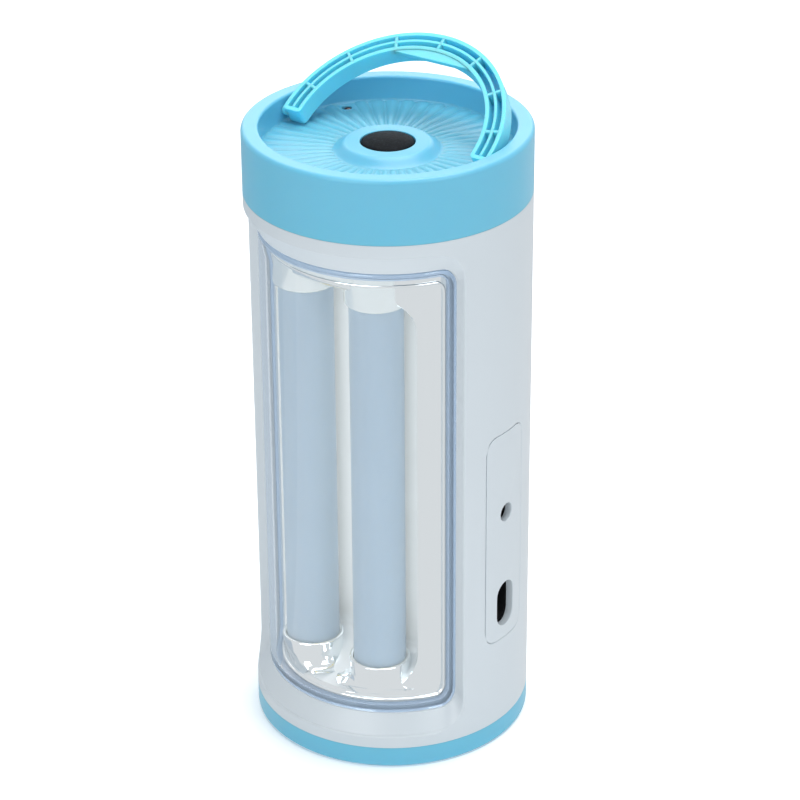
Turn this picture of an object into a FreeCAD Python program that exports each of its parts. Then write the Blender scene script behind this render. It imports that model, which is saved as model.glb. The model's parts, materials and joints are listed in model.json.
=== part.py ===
import FreeCAD, Part
import os
import re
import Sketcher

# A rechargeable camping lantern: a white tube with a curved window over two light tubes,
# a blue cap with a swinging ribbed handle and a push button, and a blue base.
# Millimetres and degrees. +Z is up, the window faces -Y and the sockets face +X.

doc = FreeCAD.newDocument("camping_lantern")

# Sizes that can be set one by one.
SIZES = [
    # Overall form
    ("body_radius", 45.0, "outside of cap, housing and base"),
    ("base_height", 7.4, "base up to its seam with the housing"),
    ("housing_height", 177.6, "housing between the two seams"),
    ("cap_height", 21.0, "cap from its seam to the rim"),
    ("wall", 2.4, "housing wall"),
    ("fit_gap", 0.15, "clearance between pieces that plug together"),
    ("run_gap", 0.3, "clearance around pieces that move"),
    ("screw_radius", 1.25, "screw shank"),
    ("screw_gap", 0.1, "clearance around a screw shank"),
    ("screw_head_radius", 2.6, "screw head"),
    ("screw_head_height", 1.8, "screw head"),
    # Cap
    ("rim_width", 5.4, "flat rim around the cap's recess"),
    ("rim_edge", 1.2, "rounded outer edge of the rim"),
    ("rim_inner_edge", 0.7, "bevelled inner edge of the rim"),
    ("recess_depth", 8.4, "rim down to the cap's floor"),
    ("floor_thickness", 2.0, "cap floor"),
    ("skirt_depth", 5.5, "part of the cap that plugs into the housing"),
    ("skirt_wall", 1.8, "wall of that plug, and of the one on the base"),
    ("boss_height", 2.6, "raised collar around the button"),
    ("boss_land", 3.5, "flat top of the collar"),
    ("boss_spread", 2.7, "slope of the collar, across"),
    ("boss_edge", 0.5, "bevelled edge of the collar"),
    ("ray_count", 60, "sun rays moulded on the floor"),
    ("ray_height", 0.45, "height of a ray"),
    ("ray_inner_width", 1.05, "ray at the collar"),
    ("ray_outer_width", 2.9, "ray at the recess wall"),
    ("ray_slope", 42.0, "lean of a ray's sides from upright"),
    ("indicator_inset", 3.2, "indicator lamp from the recess wall"),
    ("indicator_angle", 145.5, "indicator lamp, from the socket side"),
    ("indicator_radius", 1.5, "indicator lamp"),
    # Button and switch
    ("button_radius", 8.7, "rubber button"),
    ("button_dome", 1.1, "rise of the button's dome"),
    ("button_proud", 0.15, "button edge above the collar"),
    ("button_travel", 1.5, "button stroke"),
    ("button_wall", 1.7, "rubber wall"),
    ("button_flange", 1.8, "flange that keeps the button in"),
    ("button_flange_thickness", 1.2, "that flange"),
    ("stem_radius", 3.2, "stem inside the button"),
    ("stem_drop", 1.1, "stem below the flange"),
    ("plunger_radius", 2.4, "switch plunger"),
    ("plunger_length", 4.0, "switch plunger"),
    ("switch_width", 12.0, "switch body"),
    ("switch_height", 4.6, "switch body"),
    ("switch_floor", 0.8, "bottom of the switch body"),
    ("board_thickness", 1.6, "circuit boards"),
    ("post_radius", 2.8, "posts that carry the boards"),
    ("switch_post_spread", 18.0, "switch board posts from the middle"),
    ("switch_board_half_width", 14.0, "switch board across its posts"),
    ("switch_board_margin", 5.0, "switch board beyond its posts"),
    # Handle
    ("handle_gap", 1.3, "handle inside the recess wall"),
    ("handle_band", 6.6, "width of the band"),
    ("handle_depth", 6.0, "depth of the band"),
    ("handle_wall", 1.25, "outer and inner walls of the band"),
    ("handle_web", 0.85, "middle wall of the band"),
    ("channel_depth", 4.6, "open channels in the band"),
    ("rib_thickness", 0.95, "cross ribs in the channels"),
    ("rib_count", 7, "cross ribs"),
    ("rib_step", 25.2, "angle between cross ribs"),
    ("handle_tilt", 58.0, "lean of the handle from upright"),
    ("handle_rise", 0.6, "arch centre above the pivot"),
    ("handle_tail", 1.4, "handle ends below the pivot"),
    ("handle_end_wall", 1.2, "wall across each end"),
    ("handle_end_chamfer", 0.6, "bevel on each end"),
    ("handle_floor_gap", 0.45, "folded handle above the rays"),
    ("pin_radius", 1.5, "pivot pins"),
    ("pin_gap", 0.05, "running clearance of the pins"),
    ("pin_reach", 2.6, "pins inside the rim"),
    ("tab_height", 3.2, "straight finger edge inside the band"),
    ("tab_depth", 4.2, "finger tab"),
    ("tab_wall", 1.0, "wall of the finger tab"),
    # Window
    ("window_sill", 10.6, "lower edge of the lens above the base's seam"),
    ("window_head", 11.0, "upper edge of the lens below the cap's seam"),
    ("window_angle", 66.0, "lens edge, either side of the front"),
    ("window_corner", 6.5, "corner radius of the lens"),
    ("window_flare", 6.3, "spread of the recess walls at top and bottom"),
    ("lens_recess", 4.2, "lens behind the housing's outside"),
    ("lens_thickness", 2.0, "lens"),
    ("lens_depth", 4.4, "lens side walls behind the outer face"),
    ("lens_flange", 2.8, "flange that holds the lens in"),
    ("collar_depth", 2.6, "window frame of the housing behind the lens face"),
    ("collar_border", 4.5, "width of that frame"),
    # Reflector and light tubes
    ("mirror_gap", 0.2, "reflector behind the lens"),
    ("mirror_wall", 1.2, "reflector"),
    ("trough_clearance", 2.35, "back of the trough behind the tubes"),
    ("trough_side", 1.25, "side of the trough beside the tubes, at its back"),
    ("trough_sill", 14.0, "lower end of the trough above the lens edge, at its back"),
    ("trough_head", 17.6, "upper end of the trough below the lens edge, at its back"),
    ("trough_taper", 25.0, "lean of the trough walls"),
    ("trough_corner", 4.5, "corner radius of the trough"),
    ("tube_spread", 13.2, "light tubes either side of the middle"),
    ("tube_lens_gap", 2.0, "light tubes behind the lens"),
    ("tube_radius", 8.35, "light tube"),
    ("tube_wall", 1.0, "light tube"),
    ("tube_sill", 15.5, "visible lower end of the tubes above the lens edge"),
    ("tube_head_gap", 14.3, "visible upper end of the tubes below the lens edge"),
    ("cup_depth", 4.5, "tube inside each cup"),
    ("cup_wall", 1.2, "cups of the reflector"),
    ("cup_foot", 13.0, "radius of the flared foot of a lower cup"),
    ("cup_foot_height", 6.5, "height of that foot"),
    ("end_cap_thickness", 3.0, "plugs in the tube ends"),
    ("strip_gap", 0.25, "light strip inside its tube"),
    ("strip_back", 5.0, "back of the strip behind the tube axis"),
    ("chip_count", 12, "light chips on a strip"),
    ("chip_width", 2.8, "light chip"),
    ("chip_length", 3.5, "light chip"),
    ("chip_height", 1.4, "light chip"),
    ("ear_angle", 76.0, "reflector screws either side of the front"),
    ("ear_sill", 12.0, "lower reflector screws above the lens edge"),
    ("ear_head", 28.0, "upper reflector screws below the lens edge"),
    ("ear_half_width", 4.0, "reflector ears"),
    ("reflector_screw_length", 5.5, "reflector screw shank"),
    # Sockets
    ("panel_half_width", 10.0, "socket panel"),
    ("panel_low", 38.0, "socket panel"),
    ("panel_high", 113.0, "socket panel"),
    ("panel_corner", 4.5, "socket panel"),
    ("panel_thickness", 1.0, "socket panel"),
    ("dc_height", 84.0, "direct current jack"),
    ("dc_hole_radius", 3.1, "hole for the jack's plug"),
    ("dc_bore_radius", 2.75, "jack bore"),
    ("dc_bore_depth", 10.5, "jack bore"),
    ("dc_pin_radius", 1.0, "jack centre pin"),
    ("dc_width", 9.0, "jack body"),
    ("dc_tall", 11.0, "jack body"),
    ("ac_height", 50.5, "mains inlet"),
    ("ac_half_length", 8.0, "mains inlet opening"),
    ("ac_half_width", 4.5, "mains inlet opening"),
    ("ac_shell", 1.6, "wall of the mains inlet"),
    ("ac_well_depth", 12.5, "mains inlet well"),
    ("ac_pin_radius", 1.2, "mains inlet pins"),
    ("ac_pin_spread", 4.3, "mains inlet pins from the middle"),
    ("ac_pin_length", 9.5, "mains inlet pins"),
    ("socket_setback", 0.7, "sockets behind the housing's inner wall"),
    # Main board
    ("socket_length", 14.8, "sockets, from their face to the main board"),
    ("board_front", -11.5, "main board"),
    ("board_rear", 20.0, "main board"),
    ("board_low", 32.0, "main board"),
    ("board_high", 120.0, "main board"),
    ("board_screw_front", -8.0, "main board screws"),
    ("board_screw_rear", 15.0, "main board screws"),
    ("board_screw_low", 37.0, "main board screws"),
    ("board_screw_high", 115.0, "main board screws"),
    ("board_screw_length", 8.0, "main board screw shank"),
    ("component_height", 11.0, "tall components on the main board"),
    ("component_row", 13.0, "row of components beside the sockets"),
    ("dropper_width", 8.0, "dropper capacitor"),
    ("dropper_length", 14.0, "dropper capacitor"),
    ("dropper_gap", 6.5, "dropper capacitor above the jack"),
    ("reservoir_radius", 3.2, "reservoir capacitors"),
    ("reservoir_lift", 7.5, "lower reservoir capacitor above the mains inlet's middle"),
    ("reservoir_step", 10.0, "between the reservoir capacitors"),
    ("diode_length", 5.0, "diodes"),
    ("diode_width", 2.6, "diodes"),
    ("diode_step", 6.0, "between the diodes"),
    ("diode_drop", 6.0, "lowest diode below the jack's middle"),
    ("diode_count", 4, "diodes"),
    # Battery
    ("battery_width", 47.0, "battery"),
    ("battery_depth", 24.0, "battery"),
    ("battery_height", 70.0, "battery"),
    ("battery_edge", 1.0, "rounded edges of the battery"),
    ("terminal_width", 4.8, "battery terminals"),
    ("terminal_thickness", 0.8, "battery terminals"),
    ("terminal_height", 6.0, "battery terminals"),
    ("terminal_inset", 7.0, "battery terminals from the battery's sides"),
    ("pad_height", 5.0, "foam pad on the battery"),
    ("pad_width", 20.0, "foam pad on the battery"),
    ("shelf_thickness", 2.0, "shelf ribs above the foam pad"),
    ("shelf_width", 3.0, "shelf ribs above the foam pad"),
    # Base
    ("base_floor", 3.2, "upper face of the base's floor"),
    ("base_hollow", 0.8, "hollow under the base"),
    ("foot_width", 15.0, "ring that the base stands on"),
    ("foot_edge", 1.0, "bevelled lower edge"),
    ("lip_height", 4.1, "part of the base that plugs into the housing"),
    ("cradle_height", 9.0, "walls around the battery's foot"),
    ("cradle_wall", 1.6, "walls around the battery's foot"),
    ("base_screw_inset", 5.4, "base screws from the outside"),
    ("base_screw_front", 80.0, "front base screws either side of the front"),
    ("base_screw_rear", 160.0, "rear base screws either side of the front"),
    ("base_post_radius", 3.4, "posts for the base screws"),
    ("base_post_height", 12.0, "housing posts for the base screws"),
    ("base_sink_depth", 7.0, "screw wells under the base"),
    ("base_screw_length", 13.0, "base screw shank"),
]

# Heights and radii that follow from them.
FOLLOWERS = [
    ("inner_radius", "body_radius - wall"),
    ("skirt_radius", "inner_radius - fit_gap"),
    ("skirt_inner", "skirt_radius - skirt_wall"),
    ("cap_seam", "base_height + housing_height"),
    ("rim_top", "cap_seam + cap_height"),
    ("recess_radius", "body_radius - rim_width"),
    ("floor_top", "rim_top - recess_depth"),
    ("floor_under", "floor_top - floor_thickness"),
    ("boss_top", "floor_top + boss_height"),
    ("boss_top_radius", "button_radius + run_gap + boss_land"),
    ("boss_foot_radius", "boss_top_radius + boss_spread"),
    ("indicator_x", "(recess_radius - indicator_inset) * cos(indicator_angle)"),
    ("indicator_y", "(recess_radius - indicator_inset) * sin(indicator_angle)"),
    ("button_edge", "boss_top + button_proud"),
    ("flange_top", "floor_under - run_gap"),
    ("flange_under", "flange_top - button_flange_thickness"),
    ("stem_under", "flange_under - stem_drop"),
    ("plunger_under", "stem_under - plunger_length"),
    ("switch_board_top", "plunger_under - button_travel - run_gap - switch_floor"),
    ("handle_face", "handle_depth / 2"),
    ("pivot_height", "floor_top + ray_height + handle_floor_gap + handle_face"),
    ("handle_radius", "recess_radius - handle_gap"),
    ("handle_inner", "handle_radius - handle_band"),
    ("tab_chord", "handle_inner - tab_height"),
    ("channel_outer", "handle_radius - handle_wall"),
    ("channel_inner", "handle_inner + handle_wall"),
    ("web_middle", "(channel_outer + channel_inner) / 2"),
    ("window_low", "base_height + window_sill"),
    ("window_high", "cap_seam - window_head"),
    ("lens_radius", "body_radius - lens_recess"),
    ("collar_radius", "lens_radius - collar_depth"),
    ("lens_back", "lens_radius - lens_depth"),
    ("lens_inner", "lens_radius - lens_thickness"),
    ("mirror_face", "lens_back - mirror_gap"),
    ("mirror_back", "mirror_face - mirror_wall"),
    ("tube_reach", "lens_inner - tube_lens_gap - tube_radius"),
    ("tube_forward", "sqrt(tube_reach ^ 2 - tube_spread ^ 2)"),
    ("tube_low", "window_low + tube_sill"),
    ("tube_high", "window_high - tube_head_gap"),
    ("trough_back", "tube_forward - tube_radius - trough_clearance"),
    ("trough_half_width", "tube_spread + tube_radius + trough_side"),
    ("trough_low", "window_low + trough_sill"),
    ("trough_high", "window_high - trough_head"),
    ("ear_low", "window_low + ear_sill"),
    ("ear_high", "window_high - ear_head"),
    ("cup_bore", "tube_radius + fit_gap"),
    ("cup_radius", "cup_bore + cup_wall"),
    ("tube_foot", "tube_low - cup_depth"),
    ("tube_head", "tube_high + cup_depth"),
    ("strip_foot", "tube_foot + end_cap_thickness"),
    ("strip_head", "tube_head - end_cap_thickness"),
    ("strip_width", "2 * sqrt((tube_radius - tube_wall - strip_gap) ^ 2 - strip_back ^ 2)"),
    ("panel_seat", "body_radius - panel_thickness"),
    ("socket_face", "inner_radius - socket_setback"),
    ("board_face", "socket_face - socket_length"),
    ("pilot_radius", "screw_radius + screw_gap"),
    ("sink_radius", "screw_head_radius + 2 * fit_gap"),
    ("battery_right", "board_face - board_thickness - screw_head_height - run_gap"),
    ("battery_left", "battery_right - battery_width"),
    ("cradle_reach", "fit_gap + cradle_wall"),
    ("cradle_corner", "max(-battery_left; battery_right) + cradle_reach"),
    ("battery_rear", "sqrt((skirt_inner - run_gap) ^ 2 - cradle_corner ^ 2) - cradle_reach"),
    ("battery_front", "battery_rear - battery_depth"),
    ("battery_top", "base_floor + battery_height"),
    ("shelf_under", "battery_top + pad_height"),
    ("lip_top", "base_height + lip_height"),
    ("base_post_top", "lip_top + 2 * fit_gap"),
    ("foot_inner_radius", "body_radius - foot_width"),
    ("base_screw_circle", "body_radius - base_screw_inset"),
]

DEGREES_PER_RADIAN = "57.29578"
FULL_TURN = "360"
SPARE = "1"          # extra reach of a cutting shape past the face it opens

sheet = doc.addObject("Spreadsheet::Sheet", "Sizes")
for row, (name, size, note) in enumerate(SIZES, start=1):
    sheet.set("A%d" % row, name)
    sheet.set("B%d" % row, str(size))
    sheet.setAlias("B%d" % row, name)
    sheet.set("C%d" % row, note)
for row, (name, rule) in enumerate(FOLLOWERS, start=len(SIZES) + 1):
    sheet.set("A%d" % row, name)
    sheet.set("B%d" % row, "=" + rule)
    sheet.setAlias("B%d" % row, name)
doc.recompute()
NAMES = {entry[0] for entry in SIZES} | {entry[0] for entry in FOLLOWERS}
PIECES = []


def formula(text):
    """A formula whose size names point into the sheet."""
    def pointed(match):
        word = match.group(0)
        return "Sizes." + word if word in NAMES else word
    return re.sub(r"[a-z][a-z_]*", pointed, str(text))


def value(text):
    """The present value of a formula."""
    return float(sheet.evalExpression(formula(text)))


def bind(thing, **rules):
    """Tie properties of an object to formulas."""
    for name, rule in rules.items():
        thing.setExpression(name, formula(rule))


def place(thing, x="0", y="0", z="0"):
    """Tie an object's position to formulas."""
    for axis, rule in zip("xyz", (x, y, z)):
        thing.setExpression("Placement.Base." + axis, formula(rule))


def turn(thing, rule):
    """Tie an object's turn about the upright axis to a formula."""
    thing.Placement = FreeCAD.Placement(FreeCAD.Vector(), FreeCAD.Rotation(FreeCAD.Vector(0, 0, 1), 1))
    thing.setExpression("Placement.Rotation.Angle", formula(rule))
    return thing


def block(name, x, y, z):
    """A box between pairs of low and high formulas."""
    box = doc.addObject("Part::Box", name)
    spans = ["(%s) - (%s)" % (high, low) for low, high in (x, y, z)]
    bind(box, Length=spans[0], Width=spans[1], Height=spans[2])
    place(box, x[0], y[0], z[0])
    return box


def rod(name, radius, low, high, along="z", at=("0", "0")):
    """A cylinder along one axis; at gives its other two coordinates in order."""
    cylinder = doc.addObject("Part::Cylinder", name)
    bind(cylinder, Radius=radius, Height="(%s) - (%s)" % (high, low))
    if along == "z":
        place(cylinder, at[0], at[1], low)
    else:
        cylinder.Placement.Rotation = FreeCAD.Rotation(FreeCAD.Vector(0, 1, 0), 90)
        place(cylinder, low, at[0], at[1])
    return cylinder


def join(name, *shapes):
    """One solid from several that touch or overlap."""
    fused = doc.addObject("Part::MultiFuse", name)
    fused.Shapes = list(shapes)
    fused.Refine = True
    return fused


def remove(name, base, *tools):
    """A shape with others cut out of it."""
    cut = doc.addObject("Part::Cut", name)
    cut.Base = base
    cut.Tool = tools[0] if len(tools) == 1 else join(name + "_tools", *tools)
    cut.Refine = True
    return cut


def overlap(name, *shapes):
    """What several shapes have in common."""
    shared = doc.addObject("Part::MultiCommon", name)
    shared.Shapes = list(shapes)
    shared.Refine = True
    return shared


def group(name, *shapes):
    """Separate solids kept together."""
    compound = doc.addObject("Part::Compound", name)
    compound.Links = list(shapes)
    return compound


def piece(name, shape):
    """Record a finished piece under the name it is known by."""
    shape.Label = name
    PIECES.append(shape)
    return shape


def origin_plane(body, role):
    return [feature for feature in body.Origin.OriginFeatures if feature.Role == role][0]


def outline(body, name, plane, corners):
    """A closed sketch through corners; a corner marked dome starts an arc centred on the upright axis."""
    sketch = body.newObject("Sketcher::SketchObject", name)
    sketch.AttachmentSupport = (origin_plane(body, plane), [""])
    sketch.MapMode = "FlatFace"
    count = len(corners)
    points = [FreeCAD.Vector(value(corner[0]), value(corner[1]), 0) for corner in corners]
    for index, corner in enumerate(corners):
        start = points[index]
        end = points[(index + 1) % count]
        if len(corner) == 3:
            rise = end.y - start.y
            radius = (start.x ** 2 + rise ** 2) / (2 * rise)
            low = FreeCAD.Vector(0, end.y - radius, 0)
            circle = Part.Circle(low, FreeCAD.Vector(0, 0, 1), radius)
            edge = Part.ArcOfCircle(circle, circle.parameter(start), circle.parameter(end))
        else:
            edge = Part.LineSegment(start, end)
        sketch.addGeometry(edge, False)
        if len(corner) == 3:
            sketch.addConstraint(Sketcher.Constraint("PointOnObject", index, 3, -2))
    for index in range(count):
        sketch.addConstraint(Sketcher.Constraint("Coincident", index, 2, (index + 1) % count, 1))
    for index, corner in enumerate(corners):
        for kind, axis, rule in (("DistanceX", -2, corner[0]), ("DistanceY", -1, corner[1])):
            if rule == "0":
                sketch.addConstraint(Sketcher.Constraint("PointOnObject", index, 1, axis))
            else:
                number = sketch.addConstraint(Sketcher.Constraint(kind, -1, 1, index, 1, value(rule)))
                sketch.setExpression("Constraints[%d]" % number, formula(rule))
    return sketch


def turned(name, corners, half_angle=None):
    """A body turned from an outline of radius and height, whole or as a sector about the front."""
    body = doc.addObject("PartDesign::Body", name)
    if half_angle is None:
        sketch = outline(body, name + "_outline", "XZ_Plane", corners)
    else:
        mirrored = [("-(%s)" % corner[0],) + tuple(corner[1:]) for corner in corners]
        sketch = outline(body, name + "_outline", "YZ_Plane", mirrored)
    revolution = body.newObject("PartDesign::Revolution", name + "_turn")
    revolution.Profile = sketch
    revolution.ReferenceAxis = (sketch, ["V_Axis"])
    if half_angle is None:
        bind(revolution, Angle=FULL_TURN)
    else:
        revolution.Midplane = True
        bind(revolution, Angle="2 * (%s)" % half_angle)
    body.Tip = revolution
    return body


def ring(name, inner, outer, low, high, half_angle=None):
    """A turned body of rectangular section."""
    corners = [(inner, low), (outer, low), (outer, high), (inner, high)]
    return turned(name, corners, half_angle)


def padded(name, plane, corners, start, length, taper="0"):
    """A body pushed out of an outline, from a start along the plane's normal."""
    body = doc.addObject("PartDesign::Body", name)
    sketch = outline(body, name + "_outline", plane, corners)
    sketch.setExpression("AttachmentOffset.Base.z", formula(start))
    pad = body.newObject("PartDesign::Pad", name + "_pad")
    pad.Profile = sketch
    bind(pad, Length=length, TaperAngle=taper)
    body.Tip = pad
    return body


def edges_of(body, chosen):
    """The newest feature of a body, and the names of those of its edges that a test chooses."""
    doc.recompute()
    base = body.Tip
    return base, ["Edge%d" % (index + 1) for index, edge in enumerate(base.Shape.Edges) if chosen(edge)]


def round_edges(body, radius, chosen):
    """Round the edges of a body that a test chooses."""
    edges = edges_of(body, chosen)
    fillet = body.newObject("PartDesign::Fillet", body.Name + "_round")
    fillet.Base = edges
    bind(fillet, Radius=radius)
    body.Tip = fillet
    return body


def bevel_edges(body, size, chosen):
    """Bevel the edges of a body that a test chooses."""
    edges = edges_of(body, chosen)
    chamfer = body.newObject("PartDesign::Chamfer", body.Name + "_bevel")
    chamfer.Base = edges
    bind(chamfer, Size=size)
    body.Tip = chamfer
    return body


def reach(vertex):
    """Distance of a vertex from the upright axis."""
    return (vertex.X ** 2 + vertex.Y ** 2) ** 0.5


def radial(edge):
    """True for an edge that runs towards the upright axis."""
    ends = edge.Vertexes
    return len(ends) == 2 and abs(reach(ends[0]) - reach(ends[1])) > 0.01


def along_y(edge):
    ends = edge.Vertexes
    return len(ends) == 2 and abs(ends[0].Y - ends[1].Y) > 0.01


def along_x(edge):
    ends = edge.Vertexes
    return len(ends) == 2 and abs(ends[0].X - ends[1].X) > 0.01


def circle_at(radius, height):
    """A test for the full circle of a given radius and height."""
    def chosen(edge):
        if len(edge.Vertexes) != 1:
            return False
        vertex = edge.Vertexes[0]
        return abs(reach(vertex) - value(radius)) < 0.01 and abs(vertex.Z - value(height)) < 0.01
    return chosen


def screw(name, length, x="0", y="0", seat="0"):
    """A pan-head screw pointing up, with the underside of its head at the seat."""
    head = rod(name + "_head", "screw_head_radius", "%s - screw_head_height" % seat, seat, "z", (x, y))
    shank = rod(name + "_shank", "screw_radius", "%s - %s" % (seat, SPARE),
                "%s + %s" % (seat, length), "z", (x, y))
    return join(name, head, shank)


def side_screw(name, length, seat, y="0", z="0"):
    """A pan-head screw pointing outwards along X, with the underside of its head at the seat."""
    head = rod(name + "_head", "screw_head_radius", "%s - screw_head_height" % seat, seat, "x", (y, z))
    shank = rod(name + "_shank", "screw_radius", "%s - %s" % (seat, SPARE),
                "%s + %s" % (seat, length), "x", (y, z))
    return join(name, head, shank)


# Azimuths are measured from +X, so the front lies at -90 degrees.
BASE_SCREW_TURNS = ["base_screw_front - 90", "-90 - base_screw_front",
                    "base_screw_rear - 90", "-90 - base_screw_rear"]
EAR_PLACES = [(turn_rule, height) for turn_rule in ("ear_angle - 90", "-90 - ear_angle")
              for height in ("ear_low", "ear_high")]
BOARD_SCREWS = [("board_screw_rear", "board_screw_low"), ("board_screw_rear", "board_screw_high"),
                ("board_screw_front", "board_screw_high")]
SIDES = [("left", "-tube_spread"), ("right", "tube_spread")]
SWITCH_POSTS = ["-switch_post_spread", "switch_post_spread"]


def on_circle(radius, angle):
    """Formulas for a point on a circle about the upright axis."""
    return "%s * cos(%s)" % (radius, angle), "%s * sin(%s)" % (radius, angle)


def slot_tool(name, half_length, half_width, low, high, height):
    """An upright slot with round ends, pushed along X."""
    straight = "(%s - %s)" % (half_length, half_width)
    middle = block(name + "_middle", (low, high), ("-(%s)" % half_width, half_width),
                   ("%s - %s" % (height, straight), "%s + %s" % (height, straight)))
    lower = rod(name + "_lower", half_width, low, high, "x", ("0", "%s - %s" % (height, straight)))
    upper = rod(name + "_upper", half_width, low, high, "x", ("0", "%s + %s" % (height, straight)))
    return join(name, middle, lower, upper)


def rounded_panel(name, inset, start, length):
    """A flat plate facing +X with rounded corners, smaller than the panel by an inset."""
    half = "panel_half_width - (%s)" % inset
    low = "panel_low + (%s)" % inset
    high = "panel_high - (%s)" % inset
    corners = [("-(%s)" % half, low), (half, low), (half, high), ("-(%s)" % half, high)]
    plate = padded(name, "YZ_Plane", corners, start, length)
    return round_edges(plate, "panel_corner - (%s)" % inset, along_x)


def window_sector(name, inner, outer, inset):
    """A sector about the front that follows the window's outline, smaller by an inset."""
    angle = "window_angle - (%s) / lens_radius * %s" % (inset, DEGREES_PER_RADIAN)
    return ring(name, inner, outer, "window_low + (%s)" % inset, "window_high - (%s)" % inset, angle)


def make_main_housing():
    tube = ring("housing_tube", "inner_radius", "body_radius", "base_height", "cap_seam")
    border_angle = "window_angle + collar_border / lens_radius * " + DEGREES_PER_RADIAN
    frame = ring("housing_window_frame", "collar_radius", "inner_radius + wall / 2",
                 "window_low - collar_border", "window_high + collar_border", border_angle)
    inner = [frame]
    pilots = []
    for index, angle in enumerate(BASE_SCREW_TURNS):
        spot = on_circle("base_screw_circle", angle)
        inner.append(rod("housing_base_post_%d" % index, "base_post_radius", "base_post_top",
                         "base_post_top + base_post_height", "z", spot))
        pilots.append(rod("housing_base_pilot_%d" % index, "pilot_radius", "base_post_top - " + SPARE,
                          "base_sink_depth + base_screw_length + fit_gap", "z", spot))
    for index, (angle, height) in enumerate(EAR_PLACES):
        post = rod("housing_ear_post_%d" % index, "post_radius", "mirror_face", "body_radius - wall / 2",
                   "x", ("0", height))
        inner.append(turn(group("housing_ear_post_%d_turned" % index, post), angle))
        pilot = rod("housing_ear_pilot_%d" % index, "pilot_radius", "mirror_face - " + SPARE,
                    "mirror_back + reflector_screw_length + fit_gap", "x", ("0", height))
        pilots.append(turn(group("housing_ear_pilot_%d_turned" % index, pilot), angle))
    for index, (y, z) in enumerate(BOARD_SCREWS):
        inner.append(rod("housing_board_post_%d" % index, "post_radius", "board_face", "body_radius",
                         "x", (y, z)))
        pilots.append(rod("housing_board_pilot_%d" % index, "pilot_radius", "board_face - " + SPARE,
                          "board_face - board_thickness + board_screw_length + fit_gap", "x", (y, z)))
    battery_middle = "(battery_left + battery_width / 2)"
    for side, sign in (("left", "-"), ("right", "+")):
        edge = "%s %s pad_width / 4" % (battery_middle, sign)
        inner.append(block("housing_shelf_" + side, (edge + " - shelf_width / 2", edge + " + shelf_width / 2"),
                           ("battery_front + battery_depth / 3", "body_radius"),
                           ("shelf_under", "shelf_under + shelf_thickness")))
    inside = rod("housing_inside", "inner_radius + wall / 2", "base_height", "cap_seam")
    ribs = overlap("housing_ribs", join("housing_inner_parts", *inner), inside)
    shell = join("housing_shell", tube, ribs)
    flare = "window_flare * (1 + wall / (body_radius - lens_radius))"
    opening = turned("housing_window", [
        ("collar_radius - " + SPARE, "window_low"),
        ("lens_radius", "window_low"),
        ("body_radius + wall", "window_low - " + flare),
        ("body_radius + wall", "window_high + " + flare),
        ("lens_radius", "window_high"),
        ("collar_radius - " + SPARE, "window_high"),
    ], "window_angle")
    round_edges(opening, "window_corner", radial)
    seat = ring("housing_panel_ring", "panel_seat", "body_radius + wall", "base_height", "cap_seam")
    seat = overlap("housing_panel_seat", seat, rounded_panel("housing_panel_plate", "0", "board_face", "body_radius"))
    dc_hole = rod("housing_dc_hole", "dc_hole_radius", "board_face + post_radius", "body_radius + wall",
                  "x", ("0", "dc_height"))
    ac_hole = slot_tool("housing_ac_hole", "ac_half_length", "ac_half_width", "board_face + post_radius",
                        "body_radius + wall", "ac_height")
    opened = remove("housing_with_window", shell, opening)
    seated = remove("housing_with_seat", opened, seat)
    socketed = remove("housing_with_sockets", seated, dc_hole, ac_hole)
    return piece("main_housing", remove("housing", socketed, *pilots))


def make_port_panel():
    shell = ring("panel_ring", "panel_seat + fit_gap", "body_radius", "base_height", "cap_seam")
    plate = rounded_panel("panel_plate", "fit_gap", "board_face", "body_radius")
    dc_hole = rod("panel_dc_hole", "dc_hole_radius", "board_face", "body_radius + wall", "x", ("0", "dc_height"))
    ac_hole = slot_tool("panel_ac_hole", "ac_half_length", "ac_half_width", "board_face",
                        "body_radius + wall", "ac_height")
    return piece("port_panel", remove("panel", overlap("panel_blank", shell, plate), dc_hole, ac_hole))


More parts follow.
